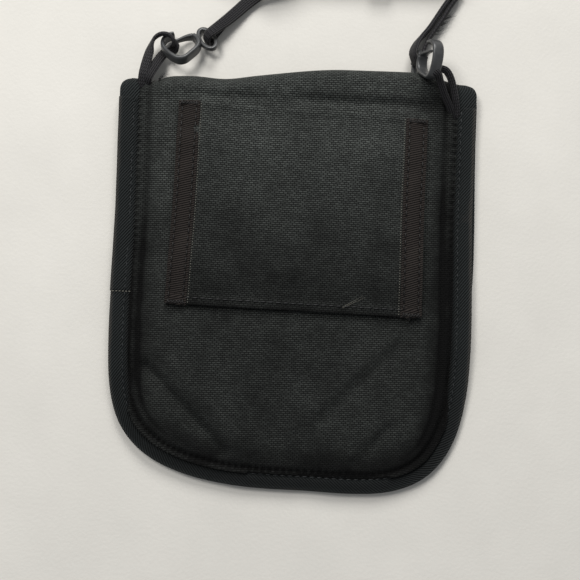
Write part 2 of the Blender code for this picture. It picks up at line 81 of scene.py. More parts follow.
# Snap hook in its own plane, +X towards the eye, and where the two hooks lie
HOOK_LINE = [
    (2.7, 6.55), (4.4, 5.2), (5.4, 3.3), (5.4, 1.1), (4.4, -1.1), (2.3, -3.6), (0.2, -5.8), (-2.1, -6.4),
    (-4.5, -5.4), (-7.0, -3.2), (-8.9, -0.7), (-9.7, 1.7), (-9.4, 4.0), (-8.2, 5.8), (-6.4, 6.9), (-4.9, 7.1),
]
GATE_LINE = [(3.1, 6.5), (1.2, 6.3), (-0.8, 5.6), (-2.9, 4.6), (-5.0, 3.6)]
RING_CENTRE, RING_TURN = (8.9, 5.3), math.radians(-62)
LEFT_HOOK = (
    Matrix.Translation((-48.4, 98.6, 6.3))
    @ Matrix.Rotation(math.radians(2), 4, "Z")
    @ Matrix.Rotation(math.radians(-30), 4, "X")
)
RIGHT_HOOK = (
    Matrix.Translation((53.7, 94.2, 13.9))
    @ Matrix.Rotation(math.radians(110), 4, "Y")
    @ Matrix.Rotation(math.radians(-23), 4, "Z")
    @ Matrix.Translation((0.9, 0, 0))
)

# Routes: x, y, z, and then the way that the cord's flat width faces
HANG_LEFT = [
    (-66.4, 79.6, 4.4, 0.98, -0.1, 0.1), (-66.0, 83.6, 6.6, 0.98, -0.1, 0.1),
        (-65.5, 87.4, 8.0, 0.98, -0.15, 0.1), (-64.6, 91.7, 7.8, 0.97, -0.2, 0.1),
    (-63.5, 96.4, 7.2, 0.9, -0.2, 0.4), (-62.7, 99.9, 7.2, 0.4, -0.2, 0.9), (-61.2, 102.6, 7.4, 0.1, 0, 1),
    (-58.5, 104.1, 7.8, 0, 0, 1), (-55.7, 103.9, 8.0, 0, 0, 1), (-53.8, 102.4, 7.7, -0.2, 0.2, 1),
    (-53.1, 100.2, 6.4, -0.3, 0.5, 0.8), (-53.6, 98.5, 4.5, -0.3, 0.8, 0.5),
        (-55.4, 97.6, 3.4, 0.1, 0.9, 0.3),
    (-57.4, 96.9, 3.8, 0.8, -0.6, 0.1), (-59.4, 94.2, 5.0, 0.88, -0.48, 0.05),
        (-61.6, 90.0, 7.0, 0.88, -0.48, 0.0),
    (-63.6, 86.0, 7.9, 0.9, -0.4, 0), (-64.8, 83.2, 6.4, 0.9, -0.3, 0), (-65.8, 79.8, 4.2, 0.9, -0.3, 0),
]
HANG_RIGHT = [
    (66.8, 71.0, 4.6, 0.9, 0.2, 0.5), (66.6, 76.0, 7.2, 0.8, 0.2, 0.7), (65.6, 80.6, 9.6, 0.7, 0.3, 0.7),
    (64.2, 85.6, 11.6, 0.7, 0.3, 0.7), (62.6, 89.2, 13.2, 0.7, 0.4, 0.6), (60.6, 91.5, 14.4, 0.5, 0.7, 0.5),
    (58.0, 91.8, 15.6, 0.2, 0.9, 0.4), (55.6, 91.2, 17.4, 0.1, 0.9, 0.4), (55.2, 90.2, 19.0, 0.2, 0.9, 0.2),
    (57.0, 89.0, 18.2, 0.5, 0.6, 0.6), (58.2, 86.9, 15.6, 0.5, 0.4, 0.8), (60.6, 82.2, 12.2, 0.6, 0.4, 0.7),
    (64.0, 76.4, 8.2, 0.7, 0.4, 0.6), (66.0, 71.2, 4.4, 0.8, 0.4, 0.5),
]
LEFT_STRAND = [
    (-39.4, 102.2, 2.6, 0.6, -0.8, 0.3), (-39.8, 103.4, 4.9, 0.6, -0.8, 0.3),
        (-38.6, 105.2, 6.6, 0.6, -0.8, 0.2),
    (-35.6, 107.8, 6.2, 0.7, -0.7, 0.1), (-31.6, 111.5, 4.6, 0.7, -0.7, 0), (-27.6, 115.4, 3.4, 0.7, -0.7, 0),
    (-23.8, 119.2, 2.6, 0.7, -0.7, 0), (-19.4, 122.6, 3.2, 0.6, -0.8, 0), (-14.2, 125.5, 6.3, 0.6, -0.8, 0),
    (-9.0, 128.6, 8.3, 0.5, -0.9, 0), (-2.0, 132.4, 8.8, 0.5, -0.9, 0), (5.0, 136.8, 8.5, 0.6, -0.8, 0.1),
    (11.5, 142.4, 7.2, 0.7, -0.7, 0.4), (17.5, 149.4, 5.0, 0.6, -0.6, 0.8), (23.5, 156.0, 4.0, 0.3, -0.4, 1),
    (30.5, 161.0, 3.8, 0, 0, 1),
]
RIGHT_STRAND = [
    (69.8, 132.9, 3.6, 0, 0, 1), (65.0, 127.4, 3.3, 0, 0, 1), (61.0, 121.9, 3.1, 0, 0, 1),
    (57.4, 116.2, 3.1, 0, 0, 1), (54.2, 111.2, 3.3, 0, 0, 1), (51.4, 107.6, 4.0, 0, 0, 1),
    (49.0, 104.4, 5.2, 0.3, 0, 1), (47.6, 100.6, 6.4, 0.6, 0, 1), (48.0, 98.2, 6.3, 0.6, 0, 1),
    (49.0, 96.4, 5.2, 0.5, 0, 0.9), (50.4, 95.9, 4.1, 0.5, 0, 0.9),
]
LEFT_TAIL = [
    (-39.9, 103.4, 4.4, 0.6, -0.8, 0.3), (-39.6, 102.0, 2.2, 0.6, -0.8, 0.3),
        (-38.4, 102.4, 1.3, 0.6, -0.8, 0.1),
    (-36.2, 106.2, 1.2, 0.7, -0.7, 0), (-32.5, 110.8, 1.2, 0.7, -0.7, 0), (-29.0, 114.4, 1.2, 0.7, -0.7, 0),
]
RIGHT_TAIL = [
    (48.4, 96.4, 5.0, 0.5, 0, 0.9), (50.2, 96.2, 3.9, 0.5, 0, 0.9), (51.6, 97.6, 3.0, 0.3, 0, 1),
    (52.2, 101.0, 2.7, 0, 0, 1), (53.6, 105.2, 2.7, 0, 0, 1), (56.2, 109.6, 2.8, 0, 0, 1),
    (59.8, 115.2, 2.9, 0, 0, 1), (63.2, 121.0, 3.0, 0, 0, 1), (66.8, 126.4, 3.1, 0, 0, 1),
]


# ---- settings shown in the sidebar
class PouchSizes(bpy.types.PropertyGroup):
    """Sizes of the sewn pouch"""

    binding_width: FloatProperty(
        name="Binding width", description="Visible width of the edge binding",
        default=float(POUCH_BOX[1][0] - POUCH_BOX[0][0]) / 18000, unit="LENGTH",
    )
    canvas_thickness: FloatProperty(
        name="Canvas thickness", description="Thickness of the pack cloth", default=0.0007, unit="LENGTH"
    )
    stitch_pitch: FloatProperty(
        name="Stitch pitch", description="Distance from one lockstitch to the next", default=0.0031,
            unit="LENGTH"
    )
    back_top: FloatProperty(
        name="Back height", description="Height of the back above the table", default=0.0119, unit="LENGTH"
    )
    crest: FloatProperty(
        name="Fold line", description="How far the top fold reaches", default=0.0865, unit="LENGTH"
    )


class CordSizes(bpy.types.PropertyGroup):
    """Sizes of the flat braided neck cord"""

    width: FloatProperty(name="Cord width", description="Width of the flat braid", default=0.0054,
        unit="LENGTH")
    thickness: FloatProperty(
        name="Cord thickness", description="Thickness of the flat braid", default=0.0021, unit="LENGTH"
    )
    turns: IntProperty(name="Hank turns", description="Turns of cord stored in the hank", default=3, min=1,
        max=6)


class FinishColours(bpy.types.PropertyGroup):
    """Colours that a maker would change"""

    canvas: FloatVectorProperty(
        name="Canvas", description="Yarn colour of the pack cloth", subtype="COLOR_GAMMA",
        default=(0.158, 0.166, 0.16),
    )
    binding: FloatVectorProperty(
        name="Binding", description="Colour of the twill edge tape", subtype="COLOR_GAMMA",
        default=(0.118, 0.13, 0.132),
    )
    tape: FloatVectorProperty(
        name="Tape", description="Colour of the belt panel's edge tape", subtype="COLOR_GAMMA",
        default=(0.134, 0.118, 0.11),
    )
    table: FloatVectorProperty(
        name="Table", description="Colour of the table top", subtype="COLOR_GAMMA",
            default=(0.9, 0.888, 0.862)
    )


# ---- shapes from numpy
def smoothstep(x):
    """Eases from 0 to 1 as x does: 3 x squared less 2 x cubed, held flat outside that range."""
    x = np.clip(x, 0, 1)
    return x * x * (3 - 2 * x)


def smooth_path(points, step):
    """Catmull-Rom curve through the points, resampled evenly by the length of its first three columns."""
    p = np.array(points, float)
    p = np.vstack([2 * p[0] - p[1], p, 2 * p[-1] - p[-2]])
    t = np.linspace(0, 1, 24, endpoint=False)[:, None]
    parts = [
        0.5 * (2 * b + (c - a) * t + (2 * a - 5 * b + 4 * c - d) * t**2 + (3 * b - a - 3 * c + d) * t**3)
        for a, b, c, d in zip(p, p[1:], p[2:], p[3:])
    ]
    return even(np.vstack([*parts, p[-2]]), step)


def lengths(path):
    """Distance along the path at each of its points."""
    return np.concatenate([[0], np.cumsum(np.linalg.norm(np.diff(path[:, :3], axis=0), axis=1))])


def even(path, step):
    """The same path with its points a step apart."""
    along = lengths(path)
    at = np.linspace(0, along[-1], max(2, round(along[-1] / step) + 1))
    return np.stack([np.interp(at, along, path[:, k]) for k in range(path.shape[1])], axis=1)


def unit(v):
    """Each vector divided by its own length."""
    return v / np.maximum(np.linalg.norm(v, axis=-1, keepdims=True), 1e-9)


def grid_faces(n, m, wrap):
    """Quads of an n by m grid of points, joined round its second way if wrap is true."""
    i, j = np.meshgrid(np.arange(n - 1), np.arange(m if wrap else m - 1), indexing="ij")
    a, b = (i * m + j).ravel(), (i * m + (j + 1) % m).ravel()
    return np.stack([a, a + m, b + m, b], axis=1)


def build(name, points, faces, material, uv=None, closed=False, smooth=True):
    """A mesh object from points in millimetres; uv holds each face corner's place on the cloth in
    millimetres."""
    mesh = bpy.data.meshes.new(name)
    mesh.from_pydata((np.asarray(points).reshape(-1, 3) / 1000).tolist(), [], [list(f) for f in faces])
    if uv is not None:
        layer = mesh.uv_layers.new(name="cloth")
        flat = np.zeros((len(mesh.loops), 2), np.float32)
        flat[: len(uv)] = uv
        layer.data.foreach_set("uv", flat.ravel())
    if closed:
        bm = bmesh.new()
        bm.from_mesh(mesh)
        bmesh.ops.recalc_face_normals(bm, faces=bm.faces)
        bm.to_mesh(mesh)
        bm.free()
    mesh.materials.append(material)
    if smooth:
        mesh.shade_smooth()
    obj = bpy.data.objects.new(name, mesh)
    bpy.context.scene.collection.objects.link(obj)
    return obj


def sheet(name, points, material, thickness, offset=0.0, scale=(1, 1)):
    """Cloth from a grid of points, given its thickness. Its uv is the distance along each way of the grid."""
    n, m = points.shape[:2]
    u = np.concatenate([np.zeros((1, m)), np.cumsum(np.linalg.norm(np.diff(points, axis=0), axis=2), axis=0)])
    v = np.concatenate([np.zeros((n, 1)),
        np.cumsum(np.linalg.norm(np.diff(points, axis=1), axis=2), axis=1)], axis=1)
    uv = np.stack([(u - u.mean(axis=0)) * scale[0], (v - v.mean(axis=1)[:, None]) * scale[1]],
        axis=2).reshape(-1, 2)
    faces = grid_faces(n, m, False)
    obj = build(name, points, faces, material, uv[faces.ravel()])
    wall = obj.modifiers.new("cloth thickness", "SOLIDIFY")
    wall.thickness = thickness / 1000
    wall.offset = offset
    return obj


def flat_sheet(name, points, uv, material, thickness, offset=0.0):
    """Cloth from a grid of points whose uv is given, so that its weave stays straight."""
    n, m = points.shape[:2]
    faces = grid_faces(n, m, False)
    obj = build(name, points, faces, material, uv.reshape(-1, 2)[faces.ravel()])
    wall = obj.modifiers.new("cloth thickness", "SOLIDIFY")
    wall.thickness = thickness / 1000
    wall.offset = offset
    return obj


def sweep_points(path, section, across, scale=None):
    """section, points (side, up), carried along path; across is the way that side faces at each point."""
    tangent = unit(np.gradient(path, axis=0))
    side = unit(across - (across * tangent).sum(axis=1)[:, None] * tangent)
    up = np.cross(side, tangent)
    scale = np.ones((len(path), 2)) if scale is None else scale
    return (
        path[:, None]
        + side[:, None] * (section[None, :, :1] * scale[:, None, :1])
        + up[:, None] * (section[None, :, 1:] * scale[:, None, 1:])
    )


def sweep(name, path, section, across, material, scale=None, smooth=True, ring=False):
    """A closed solid: the section carried along the path and capped, or joined into a ring. Its uv runs
    along and round."""
    points = sweep_points(path, section, across, scale)
    n, m = points.shape[:2]
    along = lengths(path)
    loop = np.vstack([section, section[:1]])
    around = np.concatenate([[0], np.cumsum(np.linalg.norm(np.diff(loop, axis=0), axis=1))])
    if ring:
        points = points[:-1]
        faces = grid_faces(n, m, True)
        faces = np.where(faces >= (n - 1) * m, faces - (n - 1) * m, faces)
        caps = []
    else:
        faces = grid_faces(n, m, True)
        caps = [tuple(range(m)), tuple(range((n - 1) * m, n * m))]
    i, j = np.meshgrid(np.arange(n - 1), np.arange(m), indexing="ij")
    i, j = i.ravel(), j.ravel()
    corners = [(i, j), (i + 1, j), (i + 1, j + 1), (i, j + 1)]
    uv = np.stack([np.stack([along[a], around[b]], axis=1) for a, b in corners], axis=1).reshape(-1, 2)
    return build(name, points, list(map(tuple, faces)) + caps, material, uv, closed=True, smooth=smooth)


def round_section(width, height, squareness=2.0, points=20):
    """|x / half width| ** s + |y / half height| ** s = 1, an ellipse at 2 and a rounded box above it."""
    t = np.linspace(0, 2 * math.pi, points, endpoint=False)
    c, s = np.cos(t), np.sin(t)
    power = 2 / squareness
    return np.column_stack([width / 2 * np.sign(c) * abs(c) ** power,
        height / 2 * np.sign(s) * abs(s) ** power])


def repeat(name, points, faces, centres, ways, material, smooth=True):
    """One small closed shape set at each centre, turned to that place's three ways (along, side, up)."""
    placed = centres[:, None] + np.einsum("pk,nkc->npc", points, ways)
    count = len(points)
    every = [tuple(np.array(f) + k * count) for k in range(len(centres)) for f in faces]
    return build(name, placed, every, material, closed=True, smooth=smooth)


def bead(long, wide, high):
    """A small rounded bar: rings of six points whose size is the square root of 1 - x squared, capped."""
    x = np.array([-1, -0.75, 0, 0.75, 1])
    size = np.sqrt(np.clip(1.06 - x**2, 0, 1))
    t = np.linspace(0, 2 * math.pi, 6, endpoint=False)
    rings = np.stack(
        [
            np.repeat(x * long / 2, 6),
            (size[:, None] * np.cos(t) * wide / 2).ravel(),
            (size[:, None] * np.sin(t) * high / 2).ravel(),
        ],
        axis=1,
    )
    faces = [tuple(f) for f in grid_faces(5, 6, True)] + [tuple(range(6)), tuple(range(24, 30))]
    return rings, faces


def stitches(name, paths, material, lift, pitch=None, long=2.3, wide=0.62, up=None):
    """Lockstitches along each path: thread beads a pitch apart, each a little skew, sunk half into the
    cloth."""
    pitch = pitch or bpy.context.scene.pouch_sizes.stitch_pitch * 1000
    centres, ways = [], []
    for path in paths:
        route = even(path, pitch)
        along = unit(np.gradient(route, axis=0))
        above = np.tile([0.0, 0.0, 1.0], (len(route), 1)) if up is None else np.tile(np.array(up, float),
            (len(route), 1))
        skew = unit(along + 0.07 * np.cross(above, along))
        side = unit(np.cross(above, skew))
        above = np.cross(skew, side)
        centres.append(route + above * lift)
        ways.append(np.stack([skew, side, above], axis=1))
    shape, faces = bead(long, wide, 0.62)
    return repeat(name, shape, faces, np.vstack(centres), np.vstack(ways), material)


# ---- the pouch's outline and heights
def rim_path(
    inset, top, left=75.5, right=75.1, belly=1.3, middle=-18.6, depth=68.0, round_left=3.75,
        round_right=2.98, lean=7.9
):
    """The sewn edge as a U, from its top left down and round to its top right, moved in by inset.
    Its bottom is a superellipse whose power and depth change steadily from left to right, and its sides
    belly out."""
    turn = np.linspace(math.pi, 2 * math.pi, 241)
    c, s = np.cos(turn), np.sin(turn)
    power = (round_left + round_right) / 2 + (round_right - round_left) / 2 * c
    half = np.where(c < 0, left, right) + belly
    x = half * np.sign(c) * abs(c) ** (2 / power)
    y = middle - (depth + lean * c + 0.15 * lean * c * c) * abs(s) ** (2 / power)
    rise = np.linspace(0, top + 12 - middle, 60)[1:]
    pull = belly * smoothstep(rise / 55)
    path = np.vstack(
        [
            np.column_stack([-(left + belly - pull), middle + rise])[::-1],
            np.column_stack([x, y]),
            np.column_stack([right + belly - pull, middle + rise]),
        ]
    )
    path = even(np.column_stack([path, np.zeros(len(path))]), 1.0)[:, :2]
    tangent = unit(np.gradient(path, axis=0))
    path = path + inset * np.column_stack([-tangent[:, 1], tangent[:, 0]])
    return path[path[:, 1] <= top]


def rim_height(y):
    """The binding's middle height: 2.9 at the bottom seam, easing up to 5.4 over 42 mm."""
    return 2.9 + 2.5 * smoothstep((y + 62) / 42)


def front_height(y):
    """The pouch's underside: 3.6 at the bottom, easing up to 5.3 over 24 mm where the flap lies under it."""
    return 3.6 + 1.7 * smoothstep((y + 40) / 24)


def crest(x):
    """How far up the fold reaches at each x: it climbs from the left and drops to both corners."""
    low = bpy.context.scene.pouch_sizes.crest * 1000
    return (
        low
        + 5.2 * smoothstep((x + 38) / 58)
        - 4.2 * smoothstep((x - 46) / 26)
        - 2.4 * smoothstep((-52 - x) / 14)
        - 0.6 * np.exp(-(((x + 30) / 8) ** 2))
        + 0.5 * np.exp(-(((x + 46) / 9) ** 2))
    )


def segment_distance(x, y, a, b):
    """Distance to the straight line from a to b: its foot is the projection on it, held between the ends."""
    a, b = np.array(a, float), np.array(b, float)
    t = np.clip(((x - a[0]) * (b - a)[0] + (y - a[1]) * (b - a)[1]) / ((b - a) ** 2).sum(), 0, 1)
    return np.hypot(x - a[0] - t * (b - a)[0], y - a[1] - t * (b - a)[1])


def seam_distance(x, y):
    """Distance from each point to the binding's inner edge."""
    path = rim_path(8.4, 110.0)[::3]
    flat = np.column_stack([x.ravel(), y.ravel()])
    d = np.concatenate(
        [np.sqrt(((part[:, None] - path[None]) ** 2).sum(axis=2)).min(axis=1) for part in np.array_split(
            flat, 24)]
    )
    inside = (abs(flat[:, 0]) < 67.6) & (flat[:, 1] > -79.5)
    return np.where(inside, d, -d).reshape(x.shape)


# Creases and pulls in the back: the line from one end to the other, its width, and its rise or dip
CREASES = [
    ((-60, -36), (-27, -70), 2.8, -3.0), ((-55, -29), (-20, -65), 3.2, 1.3),
    ((46, -24), (15, -55), 3.2, -1.2), ((41, -22), (11, -51), 3.4, 0.6),
    ((42, -58), (30, -73), 2.4, -1.2), ((52, -46), (34, -62), 2.8, 0.6),
    ((-50, 80), (-18, 78), 2.6, -0.9), ((0, 78.5), (56, 76.5), 2.8, -1.5), ((-46, 64), (-60, 82), 3.0, -0.8),
    ((60, 60), (63, 20), 3.2, -0.7), ((-61, 50), (-60, -8), 3.4, -0.5), ((58, 66), (50, 82), 2.6, -0.9),
    ((-20, -20), (8, -19), 4.0, 0.4),
]


def back_height(x, y):
    """The back's height: low at the seam, crowned within 30 mm of it, with pulls, creases and puckers
    added."""
    top = bpy.context.scene.pouch_sizes.back_top * 1000
    d = np.maximum(seam_distance(x, y), 0)
    edge = front_height(y) + 1.1
    crown = smoothstep(d / 30) * 0.4 + smoothstep(d / 11) * 0.4 + smoothstep(d / 2.6) * 0.2
    z = edge + (top - edge) * crown
    near = np.exp(-d / 7)
    side = smoothstep((abs(x) - 50) / 10)
    z += side * (0.45 * np.exp(-(((d - 2.4) / 0.9) ** 2)) - 0.7 * np.exp(-(((d - 4.6) / 1.1) ** 2)))
    z += 0.22 * near * np.sin(y / 3.1 + 1.3 * np.sin(y / 19)) * smoothstep(d / 2)
    z += 0.35 * crown * (np.sin(x / 17 + y / 29 + 0.6) + 0.7 * np.sin(x / 31 - y / 13 + 2.1))
    for a, b, width, amount in CREASES:
        z += amount * np.exp(-((segment_distance(x, y, a, b) / width) ** 2))
    z += 0.9 * smoothstep((y - 77) / 4) * crown
    return z


# ---- materials
def srgb(colour):
    """sRGB, as hex or as 0 to 1 parts, turned linear."""
    if isinstance(colour, str):
        colour = [int(colour[k : k + 2], 16) / 255 for k in (1, 3, 5)]
    return (*(c / 12.92 if c <= 0.04045 else ((c + 0.055) / 1.055) ** 2.4 for c in colour), 1)


def add(tree, kind, inputs=None, **options):
    """Adds a node: options are its own settings, and each input takes a value or a link from another's
    socket."""
    made = tree.nodes.new("ShaderNode" + kind)
    for option, value in options.items():
        setattr(made, option, value)
    for name, value in (inputs or {}).items():
        if isinstance(value, bpy.types.NodeSocket):
            tree.links.new(value, made.inputs[name])
        else:
            made.inputs[name].default_value = value
    return made


def blank(name, roughness, specular=0.5):
    """A material with just its shader, its roughness and its specular level."""
    made = bpy.data.materials.new(name)
    made.use_nodes = True
    shader = made.node_tree.nodes["Principled BSDF"]
    shader.inputs["Roughness"].default_value = roughness
    shader.inputs["Specular IOR Level"].default_value = specular
    return made, made.node_tree, shader


def finish_with(tree, shader, colour, height=None, depth=0.0002, strength=1.0):
    """Links a colour, and a height as a bump of that depth in metres, to the shader."""
    tree.links.new(colour, shader.inputs["Base Color"])
    if height is not None:
        bump = add(tree, "Bump", {"Height": height, "Distance": depth, "Strength": strength})
        tree.links.new(bump.outputs["Normal"], shader.inputs["Normal"])


def dark_shade(colour, share):
    """The colour turned linear, then multiplied by share."""
    return tuple(c * share for c in srgb(colour)[:3]) + (1,)


def canvas_cloth(name, colour, shade_and_wear=1.0):
    """Textured nylon pack cloth in a plain weave, about 1.8 by 0.9 mm a yarn crossing: matt, each float of
    yarn a small lit bar with a dark gap round it, dusty with lint and rubbed paler here and there. A point
    attribute, where a piece has one, adds painted shade and painted light with some wear: darker by seams, in
    creases and towards the bottom, paler at the top."""
    made, tree, shader = blank(name, 0.75, 0.16)
    shader.inputs["Sheen Weight"].default_value = 0.02
    shader.inputs["Sheen Roughness"].default_value = 0.5
    place = add(tree, "UVMap", uv_map="cloth").outputs["UV"]
    ripple = add(tree, "TexNoise", {"Vector": place, "Scale": 0.35, "Detail": 2.0})
    bent = add(tree, "VectorMath", {0: ripple.outputs["Color"], 1: (0.5, 0.5, 0.5)}, operation="SUBTRACT")
    bent = add(tree, "VectorMath", {0: bent.outputs[0], "Scale": 0.55}, operation="SCALE")
    bent = add(tree, "VectorMath", {0: place, 1: bent.outputs[0]}, operation="ADD").outputs[0]
    weave = add(
        tree, "TexBrick",
        {"Vector": bent, "Scale": 1.0, "Brick Width": 1.8, "Row Height": 0.86, "Mortar Size": 0.22,
         "Mortar Smooth": 1.0, "Color1": dark_shade(colour, 3.3), "Color2": dark_shade(colour, 1.9),
         "Mortar": dark_shade(colour, 0.02)},
        offset=0.5,
    )
    blotch = add(tree, "TexNoise", {"Vector": place, "Scale": 0.045, "Detail": 4.0, "Roughness": 0.62})
    wear_and_shade = add(
        tree, "MapRange",
        {"Value": blotch.outputs["Fac"], "From Min": 0.3, "From Max": 0.72, "To Min": 0.78,
            "To Max": 1.0 + 0.22 * shade_and_wear},
    )
    # The point attribute adds painted shade and painted light, with some wear, to the random paleness.
    rubbed = add(tree, "Attribute", attribute_name="wear_and_shade")
    wear_and_shade = add(tree, "Math", {0: wear_and_shade.outputs[0], 1: rubbed.outputs["Fac"]}, operation="ADD")
    shaded = add(tree, "Mix", {6: weave.outputs["Color"], 7: wear_and_shade.outputs[0], "Factor": 1.0},
        data_type="RGBA", blend_type="MULTIPLY")
    lint = add(tree, "TexNoise", {"Vector": place, "Scale": 1.9, "Detail": 3.0, "Roughness": 0.8})
    flecks = add(tree, "MapRange",
        {"Value": lint.outputs["Fac"], "From Min": 0.68, "From Max": 0.82, "To Min": 0.0,
            "To Max": 0.3 * shade_and_wear})
    dusty = add(tree, "Mix", {6: shaded.outputs[2], 7: srgb("#7d7e79"), "Factor": flecks.outputs[0]},
        data_type="RGBA")
    yarn = add(tree, "Math", {0: 1.0, 1: weave.outputs["Fac"]}, operation="SUBTRACT")
    fuzz = add(tree, "Math", {0: lint.outputs["Fac"], 1: 0.35, 2: yarn.outputs[0]}, operation="MULTIPLY_ADD")
    finish_with(tree, shader, dusty.outputs[2], fuzz.outputs[0], 0.00036)
    return made


def twill_tape(name, colour, pitch=1.45, lean=1.0):
    """Polyester twill tape: fine diagonal ribs, a soft sheen, patches rubbed brown, and from a point
    attribute painted shade and a painted highlight, browned as wear, along the edge where it folds over.
    """
    made, tree, shader = blank(name, 0.68, 0.16)
    shader.inputs["Sheen Weight"].default_value = 0.02
    place = add(tree, "UVMap", uv_map="cloth").outputs["UV"]
    parts = add(tree, "SeparateXYZ", {0: place})
    slant = add(tree, "Math", {0: parts.outputs["Y"], 1: lean * 1.15, 2: parts.outputs["X"]},
        operation="MULTIPLY_ADD")
    rib = add(tree, "Math", {0: slant.outputs[0], 1: 2 * math.pi / pitch}, operation="MULTIPLY")
    rib = add(tree, "Math", {0: rib.outputs[0]}, operation="SINE")
    pick = add(tree, "TexNoise", {"Vector": place, "Scale": 1.5, "Detail": 3.0})
    rough = add(tree, "Math", {0: pick.outputs["Fac"], 1: 1.1, 2: rib.outputs[0]}, operation="MULTIPLY_ADD")
    level = add(tree, "MapRange",
        {"Value": rough.outputs[0], "From Min": -0.7, "From Max": 1.6, "To Min": 0.0, "To Max": 1.0})
    tone = add(tree, "ValToRGB", {"Fac": level.outputs[0]})
    tone.color_ramp.elements[0].color = dark_shade(colour, 0.15)
    tone.color_ramp.elements[1].color = dark_shade(colour, 2.3)
    patch = add(tree, "TexNoise", {"Vector": place, "Scale": 0.06, "Detail": 3.0})
    rub_and_highlight = add(tree, "MapRange",
        {"Value": patch.outputs["Fac"], "From Min": 0.5, "From Max": 0.8, "To Min": 0.0, "To Max": 0.3})
    # The point attribute is painted shade and painted highlight, with some wear: it scales the tone, and
    # where above 0 also mixes in the rubbed brown.
    edge = add(tree, "Attribute", attribute_name="wear_and_shade")
    rub_and_highlight = add(tree, "Math", {0: rub_and_highlight.outputs[0], 1: edge.outputs["Fac"]}, operation="ADD", use_clamp=True)
    shade = add(tree, "Math", {0: 1.0, 1: edge.outputs["Fac"]}, operation="ADD")
    toned = add(tree, "Mix", {6: tone.outputs["Color"], 7: shade.outputs[0], "Factor": 1.0},
        data_type="RGBA", blend_type="MULTIPLY")
    mixed = add(tree, "Mix", {6: toned.outputs[2], 7: dark_shade("#57504a", 0.8), "Factor": rub_and_highlight.outputs[0]},
        data_type="RGBA")
    finish_with(tree, shader, mixed.outputs[2], rough.outputs[0], 0.0002)
    return made


def braided_cord(name, colour="#1d1c1e"):
    """Flat polyester braid: ribs run its length, crossed by short slanting picks; slightly shiny on the
    ribs."""
    made, tree, shader = blank(name, 0.55, 0.3)
    shader.inputs["Sheen Weight"].default_value = 0.03
    place = add(tree, "UVMap", uv_map="cloth").outputs["UV"]
    parts = add(tree, "SeparateXYZ", {0: place})
    along = add(tree, "Math", {0: parts.outputs["X"], 1: 4.6}, operation="MULTIPLY")
    across = add(tree, "Math", {0: parts.outputs["Y"], 1: 7.4}, operation="MULTIPLY")
    wave = add(tree, "Math", {0: across.outputs[0]}, operation="SINE")
    pick = add(tree, "Math", {0: wave.outputs[0], 1: 1.6, 2: along.outputs[0]}, operation="MULTIPLY_ADD")
    pick = add(tree, "Math", {0: pick.outputs[0]}, operation="SINE")
    height = add(tree, "Math", {0: pick.outputs[0], 1: 0.45, 2: wave.outputs[0]}, operation="MULTIPLY_ADD")
    level = add(tree, "MapRange", {"Value": height.outputs[0], "From Min": -1.3, "From Max": 1.4})
    tone = add(tree, "ValToRGB", {"Fac": level.outputs[0]})
    tone.color_ramp.elements[0].color = dark_shade(colour, 0.12)
    tone.color_ramp.elements[1].color = dark_shade(colour, 3.0)
    finish_with(tree, shader, tone.outputs["Color"], height.outputs[0], 0.00016)
    return made


def moulded_acetal(name, colour="#3b3c3d"):
    """Injection moulded acetal, charcoal: smooth and semi-gloss, with a faint flow mottle and fine scuffs."""
    made, tree, shader = blank(name, 0.34, 0.6)
    place = add(tree, "TexCoord").outputs["Object"]
    flow = add(tree, "TexNoise", {"Vector": place, "Scale": 420.0, "Detail": 3.0})
    tone = add(tree, "ValToRGB", {"Fac": flow.outputs["Fac"]})
    tone.color_ramp.elements[0].color = dark_shade(colour, 0.75)
    tone.color_ramp.elements[1].color = dark_shade(colour, 1.5)
    scuff = add(tree, "TexNoise", {"Vector": place, "Scale": 2600.0, "Detail": 2.0})
    finish_with(tree, shader, tone.outputs["Color"], scuff.outputs["Fac"], 0.00003, 0.5)
    polish = add(tree, "MapRange", {"Value": flow.outputs["Fac"], "To Min": 0.27, "To Max": 0.46})
    tree.links.new(polish.outputs[0], shader.inputs["Roughness"])
    return made


def sewing_thread(name, colour):
    """Bonded polyester thread: two twisted plies, dark, with a dull gleam."""
    made, tree, shader = blank(name, 0.55, 0.45)
    place = add(tree, "TexCoord").outputs["Object"]
    ply = add(tree, "TexNoise", {"Vector": place, "Scale": 1500.0, "Detail": 2.0})
    tone = add(tree, "ValToRGB", {"Fac": ply.outputs["Fac"]})
    tone.color_ramp.elements[0].color = dark_shade(colour, 0.5)
    tone.color_ramp.elements[1].color = dark_shade(colour, 1.5)
    finish_with(tree, shader, tone.outputs["Color"], ply.outputs["Fac"], 0.0001)
    return made


def closure_pile(name, scale, depth):
    """Hook and loop tape: a dull black pile, coarse for the hooks and woolly for the loops."""
    made, tree, shader = blank(name, 0.9, 0.25)
    place = add(tree, "TexCoord").outputs["Object"]
    pile = add(tree, "TexVoronoi", {"Vector": place, "Scale": scale})
    tone = add(tree, "ValToRGB", {"Fac": pile.outputs["Distance"]})
    tone.color_ramp.elements[0].color = srgb("#303132")
    tone.color_ramp.elements[1].color = srgb("#0b0b0c")
    finish_with(tree, shader, tone.outputs["Color"], pile.outputs["Distance"], depth)
    return made


def lining_cloth(name, colour="#4a4c4d"):
    """Thin coated taffeta lining: a fine plain weave, about 0.6 mm here so that it shows, with a slight
    gloss."""
    made, tree, shader = blank(name, 0.5, 0.4)
    place = add(tree, "UVMap", uv_map="cloth").outputs["UV"]
    weave = add(
        tree, "TexBrick",
        {"Vector": place, "Scale": 1.0, "Brick Width": 0.6, "Row Height": 0.6, "Mortar Size": 0.09,
            "Mortar Smooth": 1.0,
         "Color1": dark_shade(colour, 1.15), "Color2": dark_shade(colour, 0.85),
             "Mortar": dark_shade(colour, 0.45)},
        offset=0.5,
    )
    finish_with(tree, shader, weave.outputs["Color"], weave.outputs["Fac"], -0.00008)
    return made


